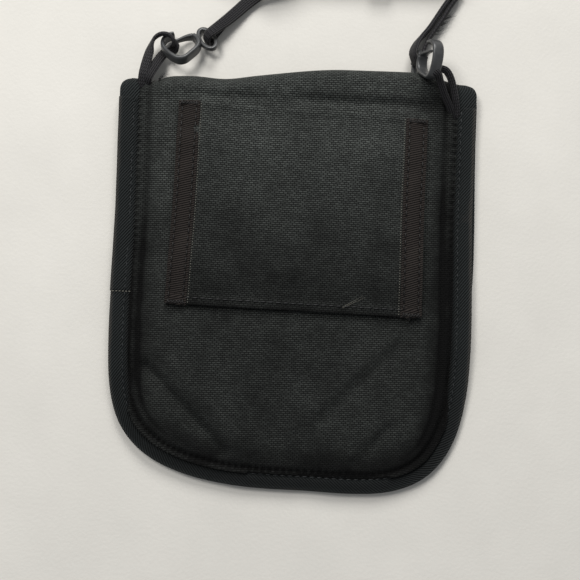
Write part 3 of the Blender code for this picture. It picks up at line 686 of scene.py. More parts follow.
def zip_coil(name):
    """Moulded polyester coil: near black, smooth, catching light on each tooth."""
    made, tree, shader = blank(name, 0.42, 0.5)
    place = add(tree, "TexCoord").outputs["Object"]
    grain = add(tree, "TexNoise", {"Vector": place, "Scale": 900.0})
    tone = add(tree, "ValToRGB", {"Fac": grain.outputs["Fac"]})
    tone.color_ramp.elements[0].color = srgb("#161617")
    tone.color_ramp.elements[1].color = srgb("#2a2a2c")
    finish_with(tree, shader, tone.outputs["Color"], grain.outputs["Fac"], 0.00003)
    return made


def lacquered_zinc(name):
    """Die-cast zinc under dark lacquer: a soft metallic gleam, rubbed through to grey in noise patches."""
    made, tree, shader = blank(name, 0.38)
    shader.inputs["Metallic"].default_value = 0.85
    place = add(tree, "TexCoord").outputs["Object"]
    wear_and_shade = add(tree, "TexNoise", {"Vector": place, "Scale": 500.0, "Detail": 5.0})
    tone = add(tree, "ValToRGB", {"Fac": wear_and_shade.outputs["Fac"]})
    tone.color_ramp.elements[0].color = srgb("#3a3b3d")
    tone.color_ramp.elements[1].color = srgb("#77787b")
    finish_with(tree, shader, tone.outputs["Color"], wear_and_shade.outputs["Fac"], 0.00004)
    return made


def table_top(name, colour):
    """Painted board: warm white, matt, with the faintest mottle and roller texture."""
    made, tree, shader = blank(name, 0.6, 0.3)
    place = add(tree, "TexCoord").outputs["Object"]
    mottle = add(tree, "TexNoise", {"Vector": place, "Scale": 22.0, "Detail": 6.0, "Roughness": 0.65})
    tone = add(tree, "ValToRGB", {"Fac": mottle.outputs["Fac"]})
    tone.color_ramp.elements[0].position = 0.3
    tone.color_ramp.elements[0].color = dark_shade(colour, 0.95)
    tone.color_ramp.elements[1].position = 0.7
    tone.color_ramp.elements[1].color = dark_shade(colour, 1.02)
    fine = add(tree, "TexNoise", {"Vector": place, "Scale": 700.0, "Detail": 2.0})
    finish_with(tree, shader, tone.outputs["Color"], fine.outputs["Fac"], 0.00008)
    return made


MADE = {}


def finish(key):
    """The material of that name, made the first time that it is asked for."""
    colours = bpy.context.scene.pouch_colours
    makers = {
        "canvas": lambda: canvas_cloth("nylon pack cloth", tuple(colours.canvas)),
        "panel": lambda: canvas_cloth("nylon pack cloth, belt panel", tuple(colours.canvas), 1.15),
        "binding": lambda: twill_tape("polyester twill binding", tuple(colours.binding)),
        "tape": lambda: twill_tape("polyester tape, faded brown", tuple(colours.tape), 0.95, 0.25),
        "cord": lambda: braided_cord("flat polyester braid"),
        "hook": lambda: moulded_acetal("moulded acetal, charcoal"),
        "thread": lambda: sewing_thread("black sewing thread", "#1b1c1d"),
        "seam thread": lambda: sewing_thread("bonded sewing thread", "#15191b"),
        "brown thread": lambda: sewing_thread("brown sewing thread", "#0f0c0b"),
        "pale thread": lambda: sewing_thread("grey sewing thread", "#77756c"),
        "hooks pile": lambda: closure_pile("closure tape, hooks", 900.0, 0.0006),
        "loops pile": lambda: closure_pile("closure tape, loops", 1500.0, 0.0005),
        "lining": lambda: lining_cloth("coated taffeta lining"),
        "zip tape": lambda: twill_tape("woven zip tape", "#26272a", 0.8, 0.0),
        "coil": lambda: zip_coil("moulded zip coil"),
        "zinc": lambda: lacquered_zinc("lacquered die-cast zinc"),
    }
    if key not in MADE:
        MADE[key] = makers[key]()
    return MADE[key]


def shade_and_wear(piece, amount):
    """Keeps for each point of the cloth how its material paints it: paler above 0 and darker below 0, as
    painted light and shade with some wear.
    """
    made = piece.data.attributes.new("wear_and_shade", "FLOAT", "POINT")
    made.data.foreach_set("value", np.ascontiguousarray(amount.ravel(), dtype=np.float32))


def bend_with_lift(piece):
    """Rides on the flap at the top and on the pouch below, turning between the two lines."""
    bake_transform(piece, "flap", "pouch", start=BEND_FROM, end=BEND_TO)


# ---- operators, one for each piece or group of like pieces
class POUCH_OT_stage(bpy.types.Operator):
    """Table, window light, room light and a camera straight above"""

    bl_idname = "pouch.stage"
    bl_label = "Stage"

    def execute(self, context):
        scene = context.scene
        scene.view_settings.view_transform = "Standard"
        edge = TABLE_REACH
        corners = np.array([(-edge, -edge, 0), (edge, -edge, 0), (edge, edge, 0), (-edge, edge, 0)])
        table = build("table", corners, [(0, 1, 2, 3)],
            table_top("painted board", tuple(scene.pouch_colours.table)), smooth=False)
        world = bpy.data.worlds.new("room")
        world.use_nodes = True
        world.node_tree.nodes["Background"].inputs["Color"].default_value = (0.93, 0.96, 1.0, 1)
        world.node_tree.nodes["Background"].inputs["Strength"].default_value = ROOM_LIGHT
        scene.world = world
        lamps = (
            ("window", (0.1, 1.15, 0.85), (0.0, 0.06, 0.0), 0.6, 13.0, (1.0, 0.99, 0.965)),
            ("ceiling", (-0.4, 0.5, 1.0), (0.0, 0.0, 0.0), 0.35, 6.0, (1.0, 0.985, 0.955)),
        )
        for name, place, target, size, power, colour in lamps:
            data = bpy.data.lights.new(name, "AREA")
            data.size, data.energy, data.color = size, power, colour
            lamp = bpy.data.objects.new(name, data)
            scene.collection.objects.link(lamp)
            way = Matrix.Translation(place).translation - Matrix.Translation(target).translation
            lamp.matrix_world = Matrix.Translation(place) @ way.to_track_quat("Z", "Y").to_matrix().to_4x4()
        data = bpy.data.cameras.new("camera")
        data.angle = 2 * math.atan(VIEW_HALF_WIDTH / VIEW_DISTANCE)
        camera = bpy.data.objects.new("camera", data)
        scene.collection.objects.link(camera)
        camera.matrix_world = Matrix.Translation(CAMERA_PLACE) @ Matrix.Rotation(CAMERA_TURN, 4, "Z")
        scene.camera = camera
        return {"FINISHED"}


def hank_route(turns):
    """A stadium whose radius grows steadily: along the top to the right, down round the end, back and up."""
    centre = HANK_BOX.mean(axis=0)[:2]
    run, inner, grow = 80.0, 13.4, 2.45
    turn = np.linspace(0, turns + 0.9, 2400)
    radius = inner + grow * turn
    arc = math.pi * radius
    whole = 2 * run + 2 * arc
    s = (turn % 1) * whole
    angle_right = math.pi / 2 - np.clip((s - run) / arc, 0, 1) * math.pi
    angle_left = -math.pi / 2 - np.clip((s - 2 * run - arc) / arc, 0, 1) * math.pi
    x = np.where(s < run, s - run / 2, 0)
    y = np.where(s < run, radius, 0)
    right = (s >= run) & (s < run + arc)
    x, y = np.where(right, run / 2 + radius * np.cos(angle_right), x), np.where(right,
        radius * np.sin(angle_right), y)
    back = (s >= run + arc) & (s < 2 * run + arc)
    x, y = np.where(back, run / 2 - (s - run - arc), x), np.where(back, -radius, y)
    left = s >= 2 * run + arc
    x, y = np.where(left, radius * np.cos(angle_left) - run / 2, x), np.where(left,
        radius * np.sin(angle_left), y)
    flat = np.column_stack([centre[0] + x, centre[1] + y])
    first = np.argmax(flat[:, 0] > 38.0)
    leaving = (turn > turns) & right & (angle_right < math.radians(-35))
    flat = flat[first : np.argmax(leaving)]
    z = 3.8 + 0.12 * np.sin(np.arange(len(flat)) / 90.0)
    return np.column_stack([flat, z, np.zeros((len(flat), 2)), np.ones(len(flat))])


class POUCH_OT_cords(bpy.types.Operator):
    """Neck cord with its stored hank, the sewn tails through the hooks' eyes, the tie and the fraying"""

    bl_idname = "pouch.cords"
    bl_label = "Cords"

    def execute(self, context):
        sizes = context.scene.cord_sizes
        width, thickness = sizes.width * 1000, sizes.thickness * 1000
        hank = even(hank_route(sizes.turns), 6.0)
        route = smooth_path([*LEFT_STRAND, *map(tuple, hank), *RIGHT_STRAND], 1.0)
        route[:, 2] = np.maximum(route[:, 2], 1.3)
        path, across = route[:, :3], route[:, 3:]
        length = lengths(path)[-1]
        along = lengths(path)
        narrow = 1 - 0.3 * np.exp(-(((length - along) / 9) ** 2)) - 0.26 * np.exp(-((along / 14) ** 2))
        section = round_section(width, thickness, 3.0, 16)
        cord = sweep("neck_cord", path, section, across, finish("cord"),
            scale=np.column_stack([narrow, np.ones(len(path))]))
        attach(cord, "flap")
        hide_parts("neck_cord_left", "neck_cord_right", "cord_hank")
        for name, points, wide, thick in (("cord_tail_left", LEFT_TAIL, 3.0, 1.4),
            ("cord_tail_right", RIGHT_TAIL, 4.7, 1.9)):
            tail = smooth_path(points, 0.8)
            piece = sweep(name, tail[:, :3], round_section(wide, thick, 3.0, 14), tail[:, 3:], finish("cord"))
            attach(piece, "flap")
            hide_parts("cord_eye_loop_" + name.split("_")[-1])
        tie = self.tie()
        fray = self.fray()
        return {"FINISHED"}

    def tie(self):
        """A webbing strap round both runs of the hank: a rounded box path with a flat band carried along
        it."""
        low, high = HANK_BOX
        middle_y, middle_z = (low[1] + high[1]) / 2, (low[2] + high[2]) / 2
        turn = np.linspace(0, 2 * math.pi, 121)
        c, s = np.cos(turn), np.sin(turn)
        y = middle_y + ((high[1] - low[1]) / 2 + 1.0) * np.sign(c) * abs(c) ** 0.12
        z = middle_z + ((high[2] - low[2]) / 2 + 0.5) * np.sign(s) * abs(s) ** 0.25
        path = even(np.column_stack([np.full(len(y), 34.0), y, np.maximum(z, 0.4)]), 1.0)
        across = np.tile([1.0, 0, 0], (len(path), 1))
        piece = sweep("hank_tie", path, round_section(9.6, 0.7, 4.0, 12), across, finish("zip tape"),
            ring=True)
        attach(piece, "flap")
        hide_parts("cord_tie")
        return piece

    def fray(self):
        """Loose fibres at the right tail's edge: thin bent tubes, each a quadratic curve out from the
        cord."""
        chance = np.random.default_rng(7)
        count = 34
        start = np.column_stack([chance.uniform(56.2, 62.2, count), np.zeros(count),
            chance.uniform(2.0, 4.6, count)])
        start[:, 1] = 108.6 + (start[:, 0] - 56.2) * 1.42
        out = np.column_stack([chance.uniform(1.2, 4.6, count), chance.uniform(-0.6, 2.4, count),
            chance.uniform(-0.5, 1.2, count)])
        droop = np.column_stack([chance.uniform(-1, 1, count), chance.uniform(-0.2, 1.6, count),
            -chance.uniform(0.1, 0.6, count)])
        piece = fibres("cord_fray", start, out, droop, 0.1, "thread")
        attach(piece, "flap")
        return piece


def fibres(name, starts, outs, droops, radius, thread):
    """Loose fibres: thin tubes along start + out t + droop t squared, thinning towards their ends."""
    count, rings = len(starts), 7
    t = np.linspace(0, 1, rings)[None, :, None]
    paths = starts[:, None] + outs[:, None] * t + droops[:, None] * t**2
    around = np.linspace(0, 2 * math.pi, 4, endpoint=False)
    circle = radius * np.column_stack([0.5 * np.sin(around), np.cos(around), np.sin(around)])
    points = paths[:, :, None] + circle * (1.15 - t[..., None])
    faces = []
    for k in range(count):
        base = k * rings * 4
        faces += [tuple(f + base) for f in grid_faces(rings, 4, True)]
        faces += [tuple(base + np.arange(4)), tuple(base + (rings - 1) * 4 + np.arange(4))]
    return build(name, points, faces, finish(thread), closed=True)


class POUCH_OT_loose_threads(bpy.types.Operator):
    """Thread ends left at the seams, and a fibre of lint on the panel"""

    bl_idname = "pouch.loose_threads"
    bl_label = "Loose threads"

    def execute(self, context):
        chance = np.random.default_rng(11)
        spots = (
            ("tuft_fold", "pouch", (-58.8, 84.6, 8.4), (2.4, 3.6, 0.4), 12, 0.16, "thread"),
            ("tuft_tape", "pouch", (49.6, -11.0, 13.0), (-1.4, -2.0, 0.2), 7, 0.15, "brown thread"),
            ("tuft_join", "pouch", (-75.4, -4.2, 6.8), (-1.0, -0.6, 0.3), 4, 0.12, "pale thread"),
            ("lint_fibre", "pouch", (21.0, -8.4, 14.6), (11.4, 6.6, 0.3), 2, 0.07, "pale thread"),
        )
        for name, body, place, reach, count, radius, thread in spots:
            starts = np.array(place) + chance.normal(0, 0.22, (count, 3)) * (1, 1, 0.3)
            outs = np.array(reach) * chance.uniform(0.6, 1.15, (count, 1)) + chance.normal(0, 0.32,
                (count, 3))
            droops = chance.normal(0, 0.5, (count, 3)) * (1, 1, 0.4)
            piece = fibres(name, starts, outs, droops, radius, thread)
            if name == "tuft_fold":
                bend_with_lift(piece)
            else:
                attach(piece, body)
        return {"FINISHED"}


class POUCH_OT_hang_loops(bpy.types.Operator):
    """The two hang loops of flat cord, sewn in at the top corners and held by the hooks"""

    bl_idname = "pouch.hang_loops"
    bl_label = "Hang loops"

    def execute(self, context):
        for side, points in (("left", HANG_LEFT), ("right", HANG_RIGHT)):
            route = smooth_path(points, 0.7)
            wide = 4.2 if side == "left" else 3.2
            piece = sweep(f"hang_loop_cord_{side}", route[:, :3], round_section(wide, 1.6, 2.6, 16),
                route[:, 3:], finish("cord"))
            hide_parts(f"hang_loop_{side}")
            bend_with_lift(piece)
        return {"FINISHED"}


class POUCH_OT_hooks(bpy.types.Operator):
    """Both snap hooks and their spring gates"""

    bl_idname = "pouch.hooks"
    bl_label = "Snap hooks"

    def execute(self, context):
        for side, place in (("left", LEFT_HOOK), ("right", RIGHT_HOOK)):
            turn = np.array(place.to_3x3())
            shift = np.array(place.translation)
            line = smooth_path([(x, y, 0) for x, y in HOOK_LINE], 0.4)
            share = lengths(line) / lengths(line)[-1]
            ends = np.sqrt(np.clip(1 - (np.clip((abs(share - 0.5) - 0.485) / 0.015, 0, 0.93)) ** 2, 0.05, 1))
            flare = 1 + 0.25 * np.exp(-(((share - 0.12) / 0.09) ** 2)) - 0.15 * smoothstep((share
                - 0.8) / 0.2)
            frame_part = self.moulding(f"hook_frame_{side}", line, 1.8, 4.8, turn, shift,
                np.column_stack([ends * flare, ends]))
            t = np.linspace(0, 2 * math.pi, 73)
            c, s = math.cos(RING_TURN), math.sin(RING_TURN)
            x, y = 5.8 * np.cos(t), 3.1 * np.sin(t)
            oval = np.column_stack([RING_CENTRE[0] + c * x - s * y, RING_CENTRE[1] + s * x + c * y, 0 * t])
            eye = self.moulding(f"hook_eye_{side}", oval, 1.7, 2.2, turn, shift, None, ring=True)
            gate_line = smooth_path([(x, y, 0) for x, y in GATE_LINE], 0.35)
            share = np.linspace(0, 1, len(gate_line))
            ends = np.sqrt(np.clip(1 - np.clip((abs(share - 0.5) - 0.46) / 0.04, 0, 0.93) ** 2, 0.05, 1))
            taper = np.column_stack([(1 - 0.45 * share) * ends, ends * (1 - 0.6 * share)])
            gate = self.moulding(f"gate_spring_{side}", gate_line, 1.7, 4.0, turn, shift, taper)
            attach(frame_part, "flap")
            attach(eye, "flap")
            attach(gate, f"gate_{side}")
            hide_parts(f"snap_hook_{side}")
            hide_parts(f"hook_gate_{side}")
        return {"FINISHED"}

    def moulding(self, name, line, width, height, turn, shift, scale, ring=False):
        """A rounded bar along a line in the hook's plane, then set in its place."""
        path = line @ turn.T + shift
        tangent = unit(np.gradient(line, axis=0))
        across = np.column_stack([-tangent[:, 1], tangent[:, 0], np.zeros(len(line))]) @ turn.T
        return sweep(name, path, round_section(width, height, 3.4, 20), across, finish("hook"), scale=scale,
            ring=ring)


def back_grid(columns, rows):
    """x across and y from the curved bottom edge up to the fold: every column runs straight up the cloth."""
    path = rim_path(6.4, 60.0)
    x_low = path[:, 0]
    share = 0.5 - 0.5 * np.cos(np.linspace(0, math.pi, columns))
    share = 0.75 * np.linspace(0, 1, columns) + 0.25 * share
    x = x_low.min() + 0.15 + (x_low.max() - x_low.min() - 0.3) * share
    under = path[(path[:, 1] < -18)]
    order = np.argsort(under[:, 0])
    bottom = np.interp(x, under[order, 0], under[order, 1])
    v = np.linspace(0, 1, rows)
    top = crest(x) - 5.2
    y = bottom[:, None] + (top - bottom)[:, None] * v[None]
    return np.repeat(x[:, None], rows, axis=1), y


class POUCH_OT_back(bpy.types.Operator):
    """Back cloth of the pouch, running over the top fold"""

    bl_idname = "pouch.back"
    bl_label = "Back cloth"

    def execute(self, context):
        thick = context.scene.pouch_sizes.canvas_thickness * 1000
        x, y = back_grid(170, 210)
        z = back_height(x, y)
        points = np.stack([x, y, z], axis=2)
        top = points[:, -1]
        turn = np.linspace(0, math.pi / 2, 14)[1:]
        middle = top[:, 2] / 2 + 0.3
        reach = 5.2
        over_y = top[:, 1][:, None] + reach * np.sin(turn)
        over_z = middle[:, None] + (top[:, 2] - middle)[:, None] * np.cos(turn)
        over = np.stack([np.repeat(top[:, :1], len(turn), axis=1), over_y, over_z], axis=2)
        whole = np.concatenate([points, over], axis=1)
        rise = np.concatenate([y, top[:, 1][:, None] + 6.5 * turn], axis=1)
        uv = np.stack([whole[..., 0], rise], axis=2)
        back = flat_sheet("back_cloth", whole, uv, finish("canvas"), thick, offset=-1.0)
        d = np.maximum(seam_distance(x, y), 0)
        # Painted shade and light in the back's colour: darker within 15 mm of the seam and towards the
        # bottom, paler at the top, darker on the right, a dark valley beside the binding at the sides, a dark
        # line along the seam, and a painted shadow at the top right corner by the hang loop.
        dark = -0.42 * (1 - smoothstep(d / 15)) - 0.46 * smoothstep((60 - y) / 70) + 0.1 * smoothstep((y
            - 60) / 20)
        dark -= 0.22 * smoothstep((x
            - 52) / 10) + 0.3 * np.exp(-(((d - 4.6) / 1.2) ** 2)) * smoothstep((abs(x) - 50) / 10)
        dark -= 0.35 * np.exp(-((d / 0.9) ** 2))
        dark += -0.35 * np.exp(-(((x - 58) / 9) ** 2 + ((y - 80) / 8) ** 2))
        shade_and_wear(back, np.concatenate([dark, np.repeat(dark[:, -1:], len(turn), axis=1)], axis=1))
        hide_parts("back_panel")
        bend_with_lift(back)
        turn = np.linspace(math.pi / 2, math.pi, 14)
        low_z = middle[:, None] + (middle - 0.45)[:, None] * np.cos(turn)
        low_y = top[:, 1][:, None] + reach * np.sin(turn)
        under = np.stack([np.repeat(top[:, :1], len(turn), axis=1), low_y, low_z], axis=2)
        flat_y = np.linspace(0, 1, 6)[1:]
        last = under[:, -1]
        tail = last[:, None] + (np.column_stack([last[:, 0], np.full(len(last), 78.0), last[:, 2]])
            - last)[:, None] * flat_y[None, :, None]
        under = np.concatenate([under, tail], axis=1)
        fold = flat_sheet("fold_cloth", under, under[..., [0, 2]] * (1, -1) + (0, 90), finish("canvas"),
            thick, offset=-1.0)
        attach(fold, "flap")
        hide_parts("top_fold")
        return {"FINISHED"}


class POUCH_OT_binding(bpy.types.Operator):
    """Twill binding round the pouch, with its lapped join, and over both ends of the fold"""

    bl_idname = "pouch.binding"
    bl_label = "Pouch binding"

    def execute(self, context):
        wide = context.scene.pouch_sizes.binding_width * 1000
        flat = rim_path(wide / 2, 78.5)
        path = np.column_stack([flat, rim_height(flat[:, 1])])
        along = lengths(path)
        path[:, 2] += 0.12 * np.sin(along / 7.3) + 0.1 * np.sin(along / 3.1 + 2)
        join = np.argmax(path[:, 1] < -4.3)
        pieces = (("binding_round", path[join - 9 :], 1.0), ("binding_left", path[: join + 1], 1.075))
        for name, part, swell in pieces:
            piece = self.tape(name, part, wide * swell, 4.3 * swell)
            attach(piece, "pouch")
        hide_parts("pouch_binding")
        self.corners(wide)
        inner = rim_path(wide - 2.3, 79.0)
        seam = np.column_stack([inner, rim_height(inner[:, 1]) + 1.5])
        self.sewn("binding_stitches", [seam], finish("seam thread"), 0.1, long=2.2, wide=0.7)
        raw = np.column_stack([np.linspace(-75.2, -68.3, 8), np.full(8, -4.6),
            np.full(8, rim_height(-4.6) + 2.32)])
        self.sewn("join_stitches", [raw], finish("pale thread"), 0.0, pitch=1.5, long=0.9, wide=0.35)
        return {"FINISHED"}

    def sewn(self, *given, **options):
        """Stitches that ride on the pouch."""
        piece = stitches(*given, **options)
        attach(piece, "pouch")

    def tape(self, name, part, wide, high):
        """Folded tape as a swept rounded box, dented where the seam pulls it in beside its inner edge."""
        t = np.linspace(0, 2 * math.pi, 40, endpoint=False)
        section = round_section(wide, high, 2.7, 40)
        dent = np.exp(-(((section[:, 0] + wide / 2 - 2.3) / 0.7) ** 2))
        section[:, 1] -= np.sign(np.sin(t)) * 0.6 * dent
        tangent = unit(np.gradient(part, axis=0))
        across = np.column_stack([tangent[:, 1], -tangent[:, 0], np.zeros(len(part))])
        piece = sweep(name, part, section, across, finish("binding"))
        # Painted light in the tape's colour: painted shade towards the bottom, a painted highlight with some
        # wear along the outer edge, and painted shade in the crease by the inner edge.
        rim = np.exp(-(((section[:, 0] - wide / 2 + 0.7) / 0.9) ** 2)) - 0.0
        low = -0.15 - 0.35 * smoothstep((-30 - part[:, 1]) / 40)
        crease = np.exp(-(((section[:, 0] + wide / 2) / 1.3) ** 2))
        shade_and_wear(piece, low[:, None] + 0.5 * rim[None] - 0.5 * crease[None])
        return piece

    def round_off(self, piece, centre, wide):
        """Draws the outer side in along a quarter circle towards the top of the fold, so the corner is
        round."""
        points = points_of(piece)
        radius, top = 5.2, points[:, 1].max()
        t = np.clip((points[:, 1] - (top - radius)) / radius, 0, 1)
        draw = radius * (1 - np.sqrt(1 - t**2)) * 0.8
        out = np.sign(centre)
        share = smoothstep((out * (points[:, 0] - centre) + wide / 2) / wide)
        points[:, 0] -= out * draw * share
        piece.data.vertices.foreach_set("co", (points / 1000).ravel())
        piece.data.update()

    def corners(self, wide):
        """Binding over the fold: an arc from the pouch round to the flap, bulged with soft ridges."""
        for side, centre, reach in (("left", -71.2, 85.2), ("right", 70.9, 87.0)):
            turn = np.linspace(0, math.pi, 40)
            round_y = reach - 4.4 - 3.0 + 6.2 * np.sin(turn) ** 0.8
            arc = np.column_stack([np.full(40, centre), round_y, 4.3 + 2.15 * np.cos(turn)])
            arc[:, 2] = np.where(turn < math.pi / 2, 4.2 + 1.9 * np.cos(turn), 4.2 + 2.6 * np.cos(turn))
            start = np.column_stack([np.full(8, centre), np.linspace(72.0, arc[0, 1] - 0.6, 8),
                np.linspace(4.9, arc[0, 2], 8)])
            stop = np.column_stack([np.full(8, centre), np.linspace(arc[-1, 1] - 0.6, 75.0, 8),
                np.full(8, arc[-1, 2])])
            path = even(np.vstack([start, arc, stop]), 0.5)
            section = round_section(wide, 3.3, 2.6, 48)
            section[:, 1] *= 1 + 0.05 * np.sin(section[:, 0] * 3.4)
            across = np.tile([1.0, 0, 0], (len(path), 1))
            bulge = 1 + 0.1 * smoothstep((path[:, 1] - 79) / 6)
            piece = sweep(f"fold_tape_{side}", path, section, across, finish("binding"),
                scale=np.column_stack([np.ones(len(path)), bulge]))
            self.round_off(piece, centre, wide)
            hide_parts(f"fold_binding_{side}")
            bend_with_lift(piece)
            weights = piece.data.attributes["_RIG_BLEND"]
            value = np.empty(len(piece.data.vertices), np.float32)
            weights.data.foreach_get("value", value)
            value *= np.repeat(smoothstep((path[:, 2] - 3.4) / 1.6), 48)
            weights.data.foreach_set("value", value.astype(np.float32))


def points_of(piece):
    """A piece's points in millimetres."""
    points = np.empty(len(piece.data.vertices) * 3)
    piece.data.vertices.foreach_get("co", points)
    return points.reshape(-1, 3) * 1000


BELT = np.array([(-53.1, -9.0), (54.6, -11.5), (54.3, 70.8), (-49.7, 76.0)])


def belt_patch(u, v):
    """Bilinear between the panel's four corners, u across and v up."""
    a, b, c, d = BELT
    u, v = u[..., None], v[..., None]
    flat = (1 - v) * ((1 - u) * a + u * b) + v * ((1 - u) * d + u * c)
    bow = 0.8 * np.sin(math.pi * v[..., 0]) * (2 * u[..., 0] - 1)
    return flat - np.stack([bow, 0.7 * np.sin(2 * math.pi * u[..., 0]) * v[..., 0]], axis=-1)


def belt_height(u, v, flat):
    """Sewn to the back at its two ends, slack and slightly bowed between, with a dip behind each seam."""
    sewn = back_height(flat[..., 0], flat[..., 1]) + 1.15
    slack = smoothstep(np.minimum(v, 1 - v) / 0.22)
    rise = 2.6 * slack + 0.5 * np.sin(math.pi * v) * (1 - 0.4 * np.cos(2 * math.pi * u))
    wave = 0.22 * np.sin(5.2 * math.pi * u + 1.0) * slack
    hem = 0.45 * smoothstep((0.05 - v) / 0.008) * smoothstep((v + 0.004) / 0.006)
    hem += 0.3 * smoothstep((v - 0.97) / 0.008)
    return sewn + rise + wave + hem


class POUCH_OT_belt_panel(bpy.types.Operator):
    """Belt panel sewn to the back, with its brown edge tapes, bar tacks and stitching"""

    bl_idname = "pouch.belt_panel"
    bl_label = "Belt panel"

    def execute(self, context):
        u, v = np.meshgrid(np.linspace(0.02, 0.98, 120), np.linspace(0, 1, 110), indexing="ij")
        flat = belt_patch(u, v)
        points = np.concatenate([flat, belt_height(u, v, flat)[..., None]], axis=2)
        panel = flat_sheet("belt_cloth", points, np.stack([u * 105, v * 84], axis=2), finish("panel"), 0.8)
        # Painted shade and light in the panel's colour: darker overall and towards the bottom, paler at the
        # upper middle, and painted shade along the bottom hem.
        middle = np.exp(-(((u - 0.5) / 0.3) ** 2 + ((v - 0.75) / 0.3) ** 2))
        shade_and_wear(panel, -0.6 + 0.56 * smoothstep((v - 0.1) / 0.9) + 0.14 * middle - 0.25
            * np.exp(-((v / 0.02) ** 2)))
        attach(panel, "pouch")
        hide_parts("belt_panel")
        share = 9.3 / 105
        rows, bars, edges = [], [], []
        for side, low, high in (("left", 0.0, share), ("right", 1 - share, 1.0)):
            tape = self.edge_tape(side, low, high)
            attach(tape, "pouch")
            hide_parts(f"belt_tape_{side}")
            for inset in (0.18, 0.82):
                rows.append(self.row(low + (high - low) * inset, 0.012, 0.988, 0.9))
            inner = high + 0.0035 if side == "left" else low - 0.0035
            edges.append(self.row(inner, 0.012, 0.988, 0.62))
            for end in (0.012, 0.988):
                bars.append((low + (high - low) / 2, end))
        self.sewn("tape_stitches", rows, "brown thread", 0.1, "brown_tape", pitch=3.0, long=2.1, wide=0.75)
        self.sewn("tape_edge_stitches", edges, "pale thread", 0.0, "brown_tape", pitch=1.15, long=0.55,
            wide=0.32)
        self.sewn("panel_stitches", [self.cross(share * 1.02, 1 - share * 1.02, 0.036)], "thread", 0.08,
            "body_fabric")
        for number, (at, end) in enumerate(bars, 1):
            middle = self.on_panel(np.array([at]), np.array([end]), 1.0)[0]
            x = np.linspace(-3.6, 3.6, 13)
            path = np.column_stack([middle[0] + x, middle[1] + 0.42 * np.where(np.arange(13) % 2, 1, -1),
                np.full(13, middle[2])])
            bar = stitches(f"bar_tack_{number}", [path], finish("brown thread"), 0.05, pitch=0.62, long=1.5,
                wide=0.45)
            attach(bar, "pouch")
            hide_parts(f"belt_bartack_{[1, 4, 2, 3][number - 1]}")
        return {"FINISHED"}

    def on_panel(self, u, v, lift):
        """Places on the panel's surface, raised by lift."""
        flat = belt_patch(u, v)
        return np.column_stack([flat, belt_height(u, v, flat) + lift])

    def row(self, u, low, high, lift):
        """A line up the panel at one u."""
        v = np.linspace(low, high, 90)
        return self.on_panel(np.full(90, u), v, lift)

    def cross(self, low, high, v):
        """A line across the panel at one v."""
        u = np.linspace(low, high, 90)
        return self.on_panel(u, np.full(90, v), 0.5)

    def sewn(self, name, rows, thread, lift, slot, **options):
        """Stitches along the rows, riding on the pouch."""
        piece = stitches(name, rows, finish(thread), lift, **options)
        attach(piece, "pouch")

    def edge_tape(self, side, low, high):
        """Tape folded round the panel's free edge: a flattened section carried up the edge, dented along
        both seams."""
        v = np.linspace(0, 1, 150)
        path = self.on_panel(np.full(150, (low + high) / 2), v, 0.0)
        section = round_section(9.3, 1.9, 4.2, 44)
        seams = np.exp(-(((abs(section[:, 0]) - 3.0) / 0.6) ** 2))
        section[:, 1] -= np.sign(section[:, 1]) * 0.34 * seams
        edge = self.on_panel(np.full(150, high), v, 0.0) - self.on_panel(np.full(150, low), v, 0.0)
        return sweep(f"edge_tape_{side}", path, section, unit(edge), finish("tape"))


def flap_rim(inset, top):
    """The flap's edge: rim_path's U with a nearly even, shallower bottom."""
    return rim_path(inset, top, 75.2, 76.1, 0.9, 12.0, 36.4, 3.4, 3.4, 0.9)


def filled(path, count, rings):
    """A flat sheet inside a U-shaped edge: each row runs from the edge's left side to its right side."""
    t = np.linspace(0, 1, rings)
    along = lengths(np.column_stack([path, np.zeros(len(path))]))
    left = np.stack([np.interp(t * along[-1] / 2, along, path[:, k]) for k in (0, 1)], axis=1)
    right = np.stack([np.interp((1 - t / 2) * along[-1], along, path[:, k]) for k in (0, 1)], axis=1)
    s = np.linspace(0, 1, count)[None, :, None]
    return left[:, None] * (1 - s) + right[:, None] * s


class POUCH_OT_flap(bpy.types.Operator):
    """Front flap under the pouch: outer cloth, lining, binding and the hook half of the closure"""

    bl_idname = "pouch.flap"
    bl_label = "Flap"

    def execute(self, context):
        thick = context.scene.pouch_sizes.canvas_thickness * 1000
        wide = context.scene.pouch_sizes.binding_width * 1000
        flat = filled(flap_rim(wide - 2.0, 79.5), 90, 70)[:-1]
        x, y = flat[..., 0], flat[..., 1]
        for name, base, material, slot, node in (
            ("flap_cloth", 0.45, "canvas", "body_fabric", "flap_panel"),
            ("flap_inside", 1.45, "lining", "lining", "flap_lining"),
        ):
            z = base + 0.07 * np.sin(x / 11 + y / 17) + 0.07
            piece = flat_sheet(name, np.stack([x, y, z], axis=2), flat, finish(material),
                thick if base < 1 else 0.4)
            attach(piece, "flap")
            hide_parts(node)
        rim = flap_rim(wide / 2, 80.0)
        path = np.column_stack([rim, np.full(len(rim), 1.32)])
        tangent = unit(np.gradient(path, axis=0))
        across = np.column_stack([tangent[:, 1], -tangent[:, 0], np.zeros(len(path))])
        edge = sweep("flap_edge_tape", path, round_section(wide, 2.5, 3.0, 32), across, finish("binding"))
        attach(edge, "flap")
        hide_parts("flap_binding")
        seam = flap_rim(wide - 1.7, 78.0)
        rows = [np.column_stack([seam, np.full(len(seam), 2.5)])]
        sewn = stitches("flap_stitches", rows, finish("thread"), 0.05)
        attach(sewn, "flap")
        strip = closure_strip("hook_strip", 1.95, 2.85, "hooks pile")
        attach(strip, "flap")
        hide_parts("flap_hook_strip")
        return {"FINISHED"}


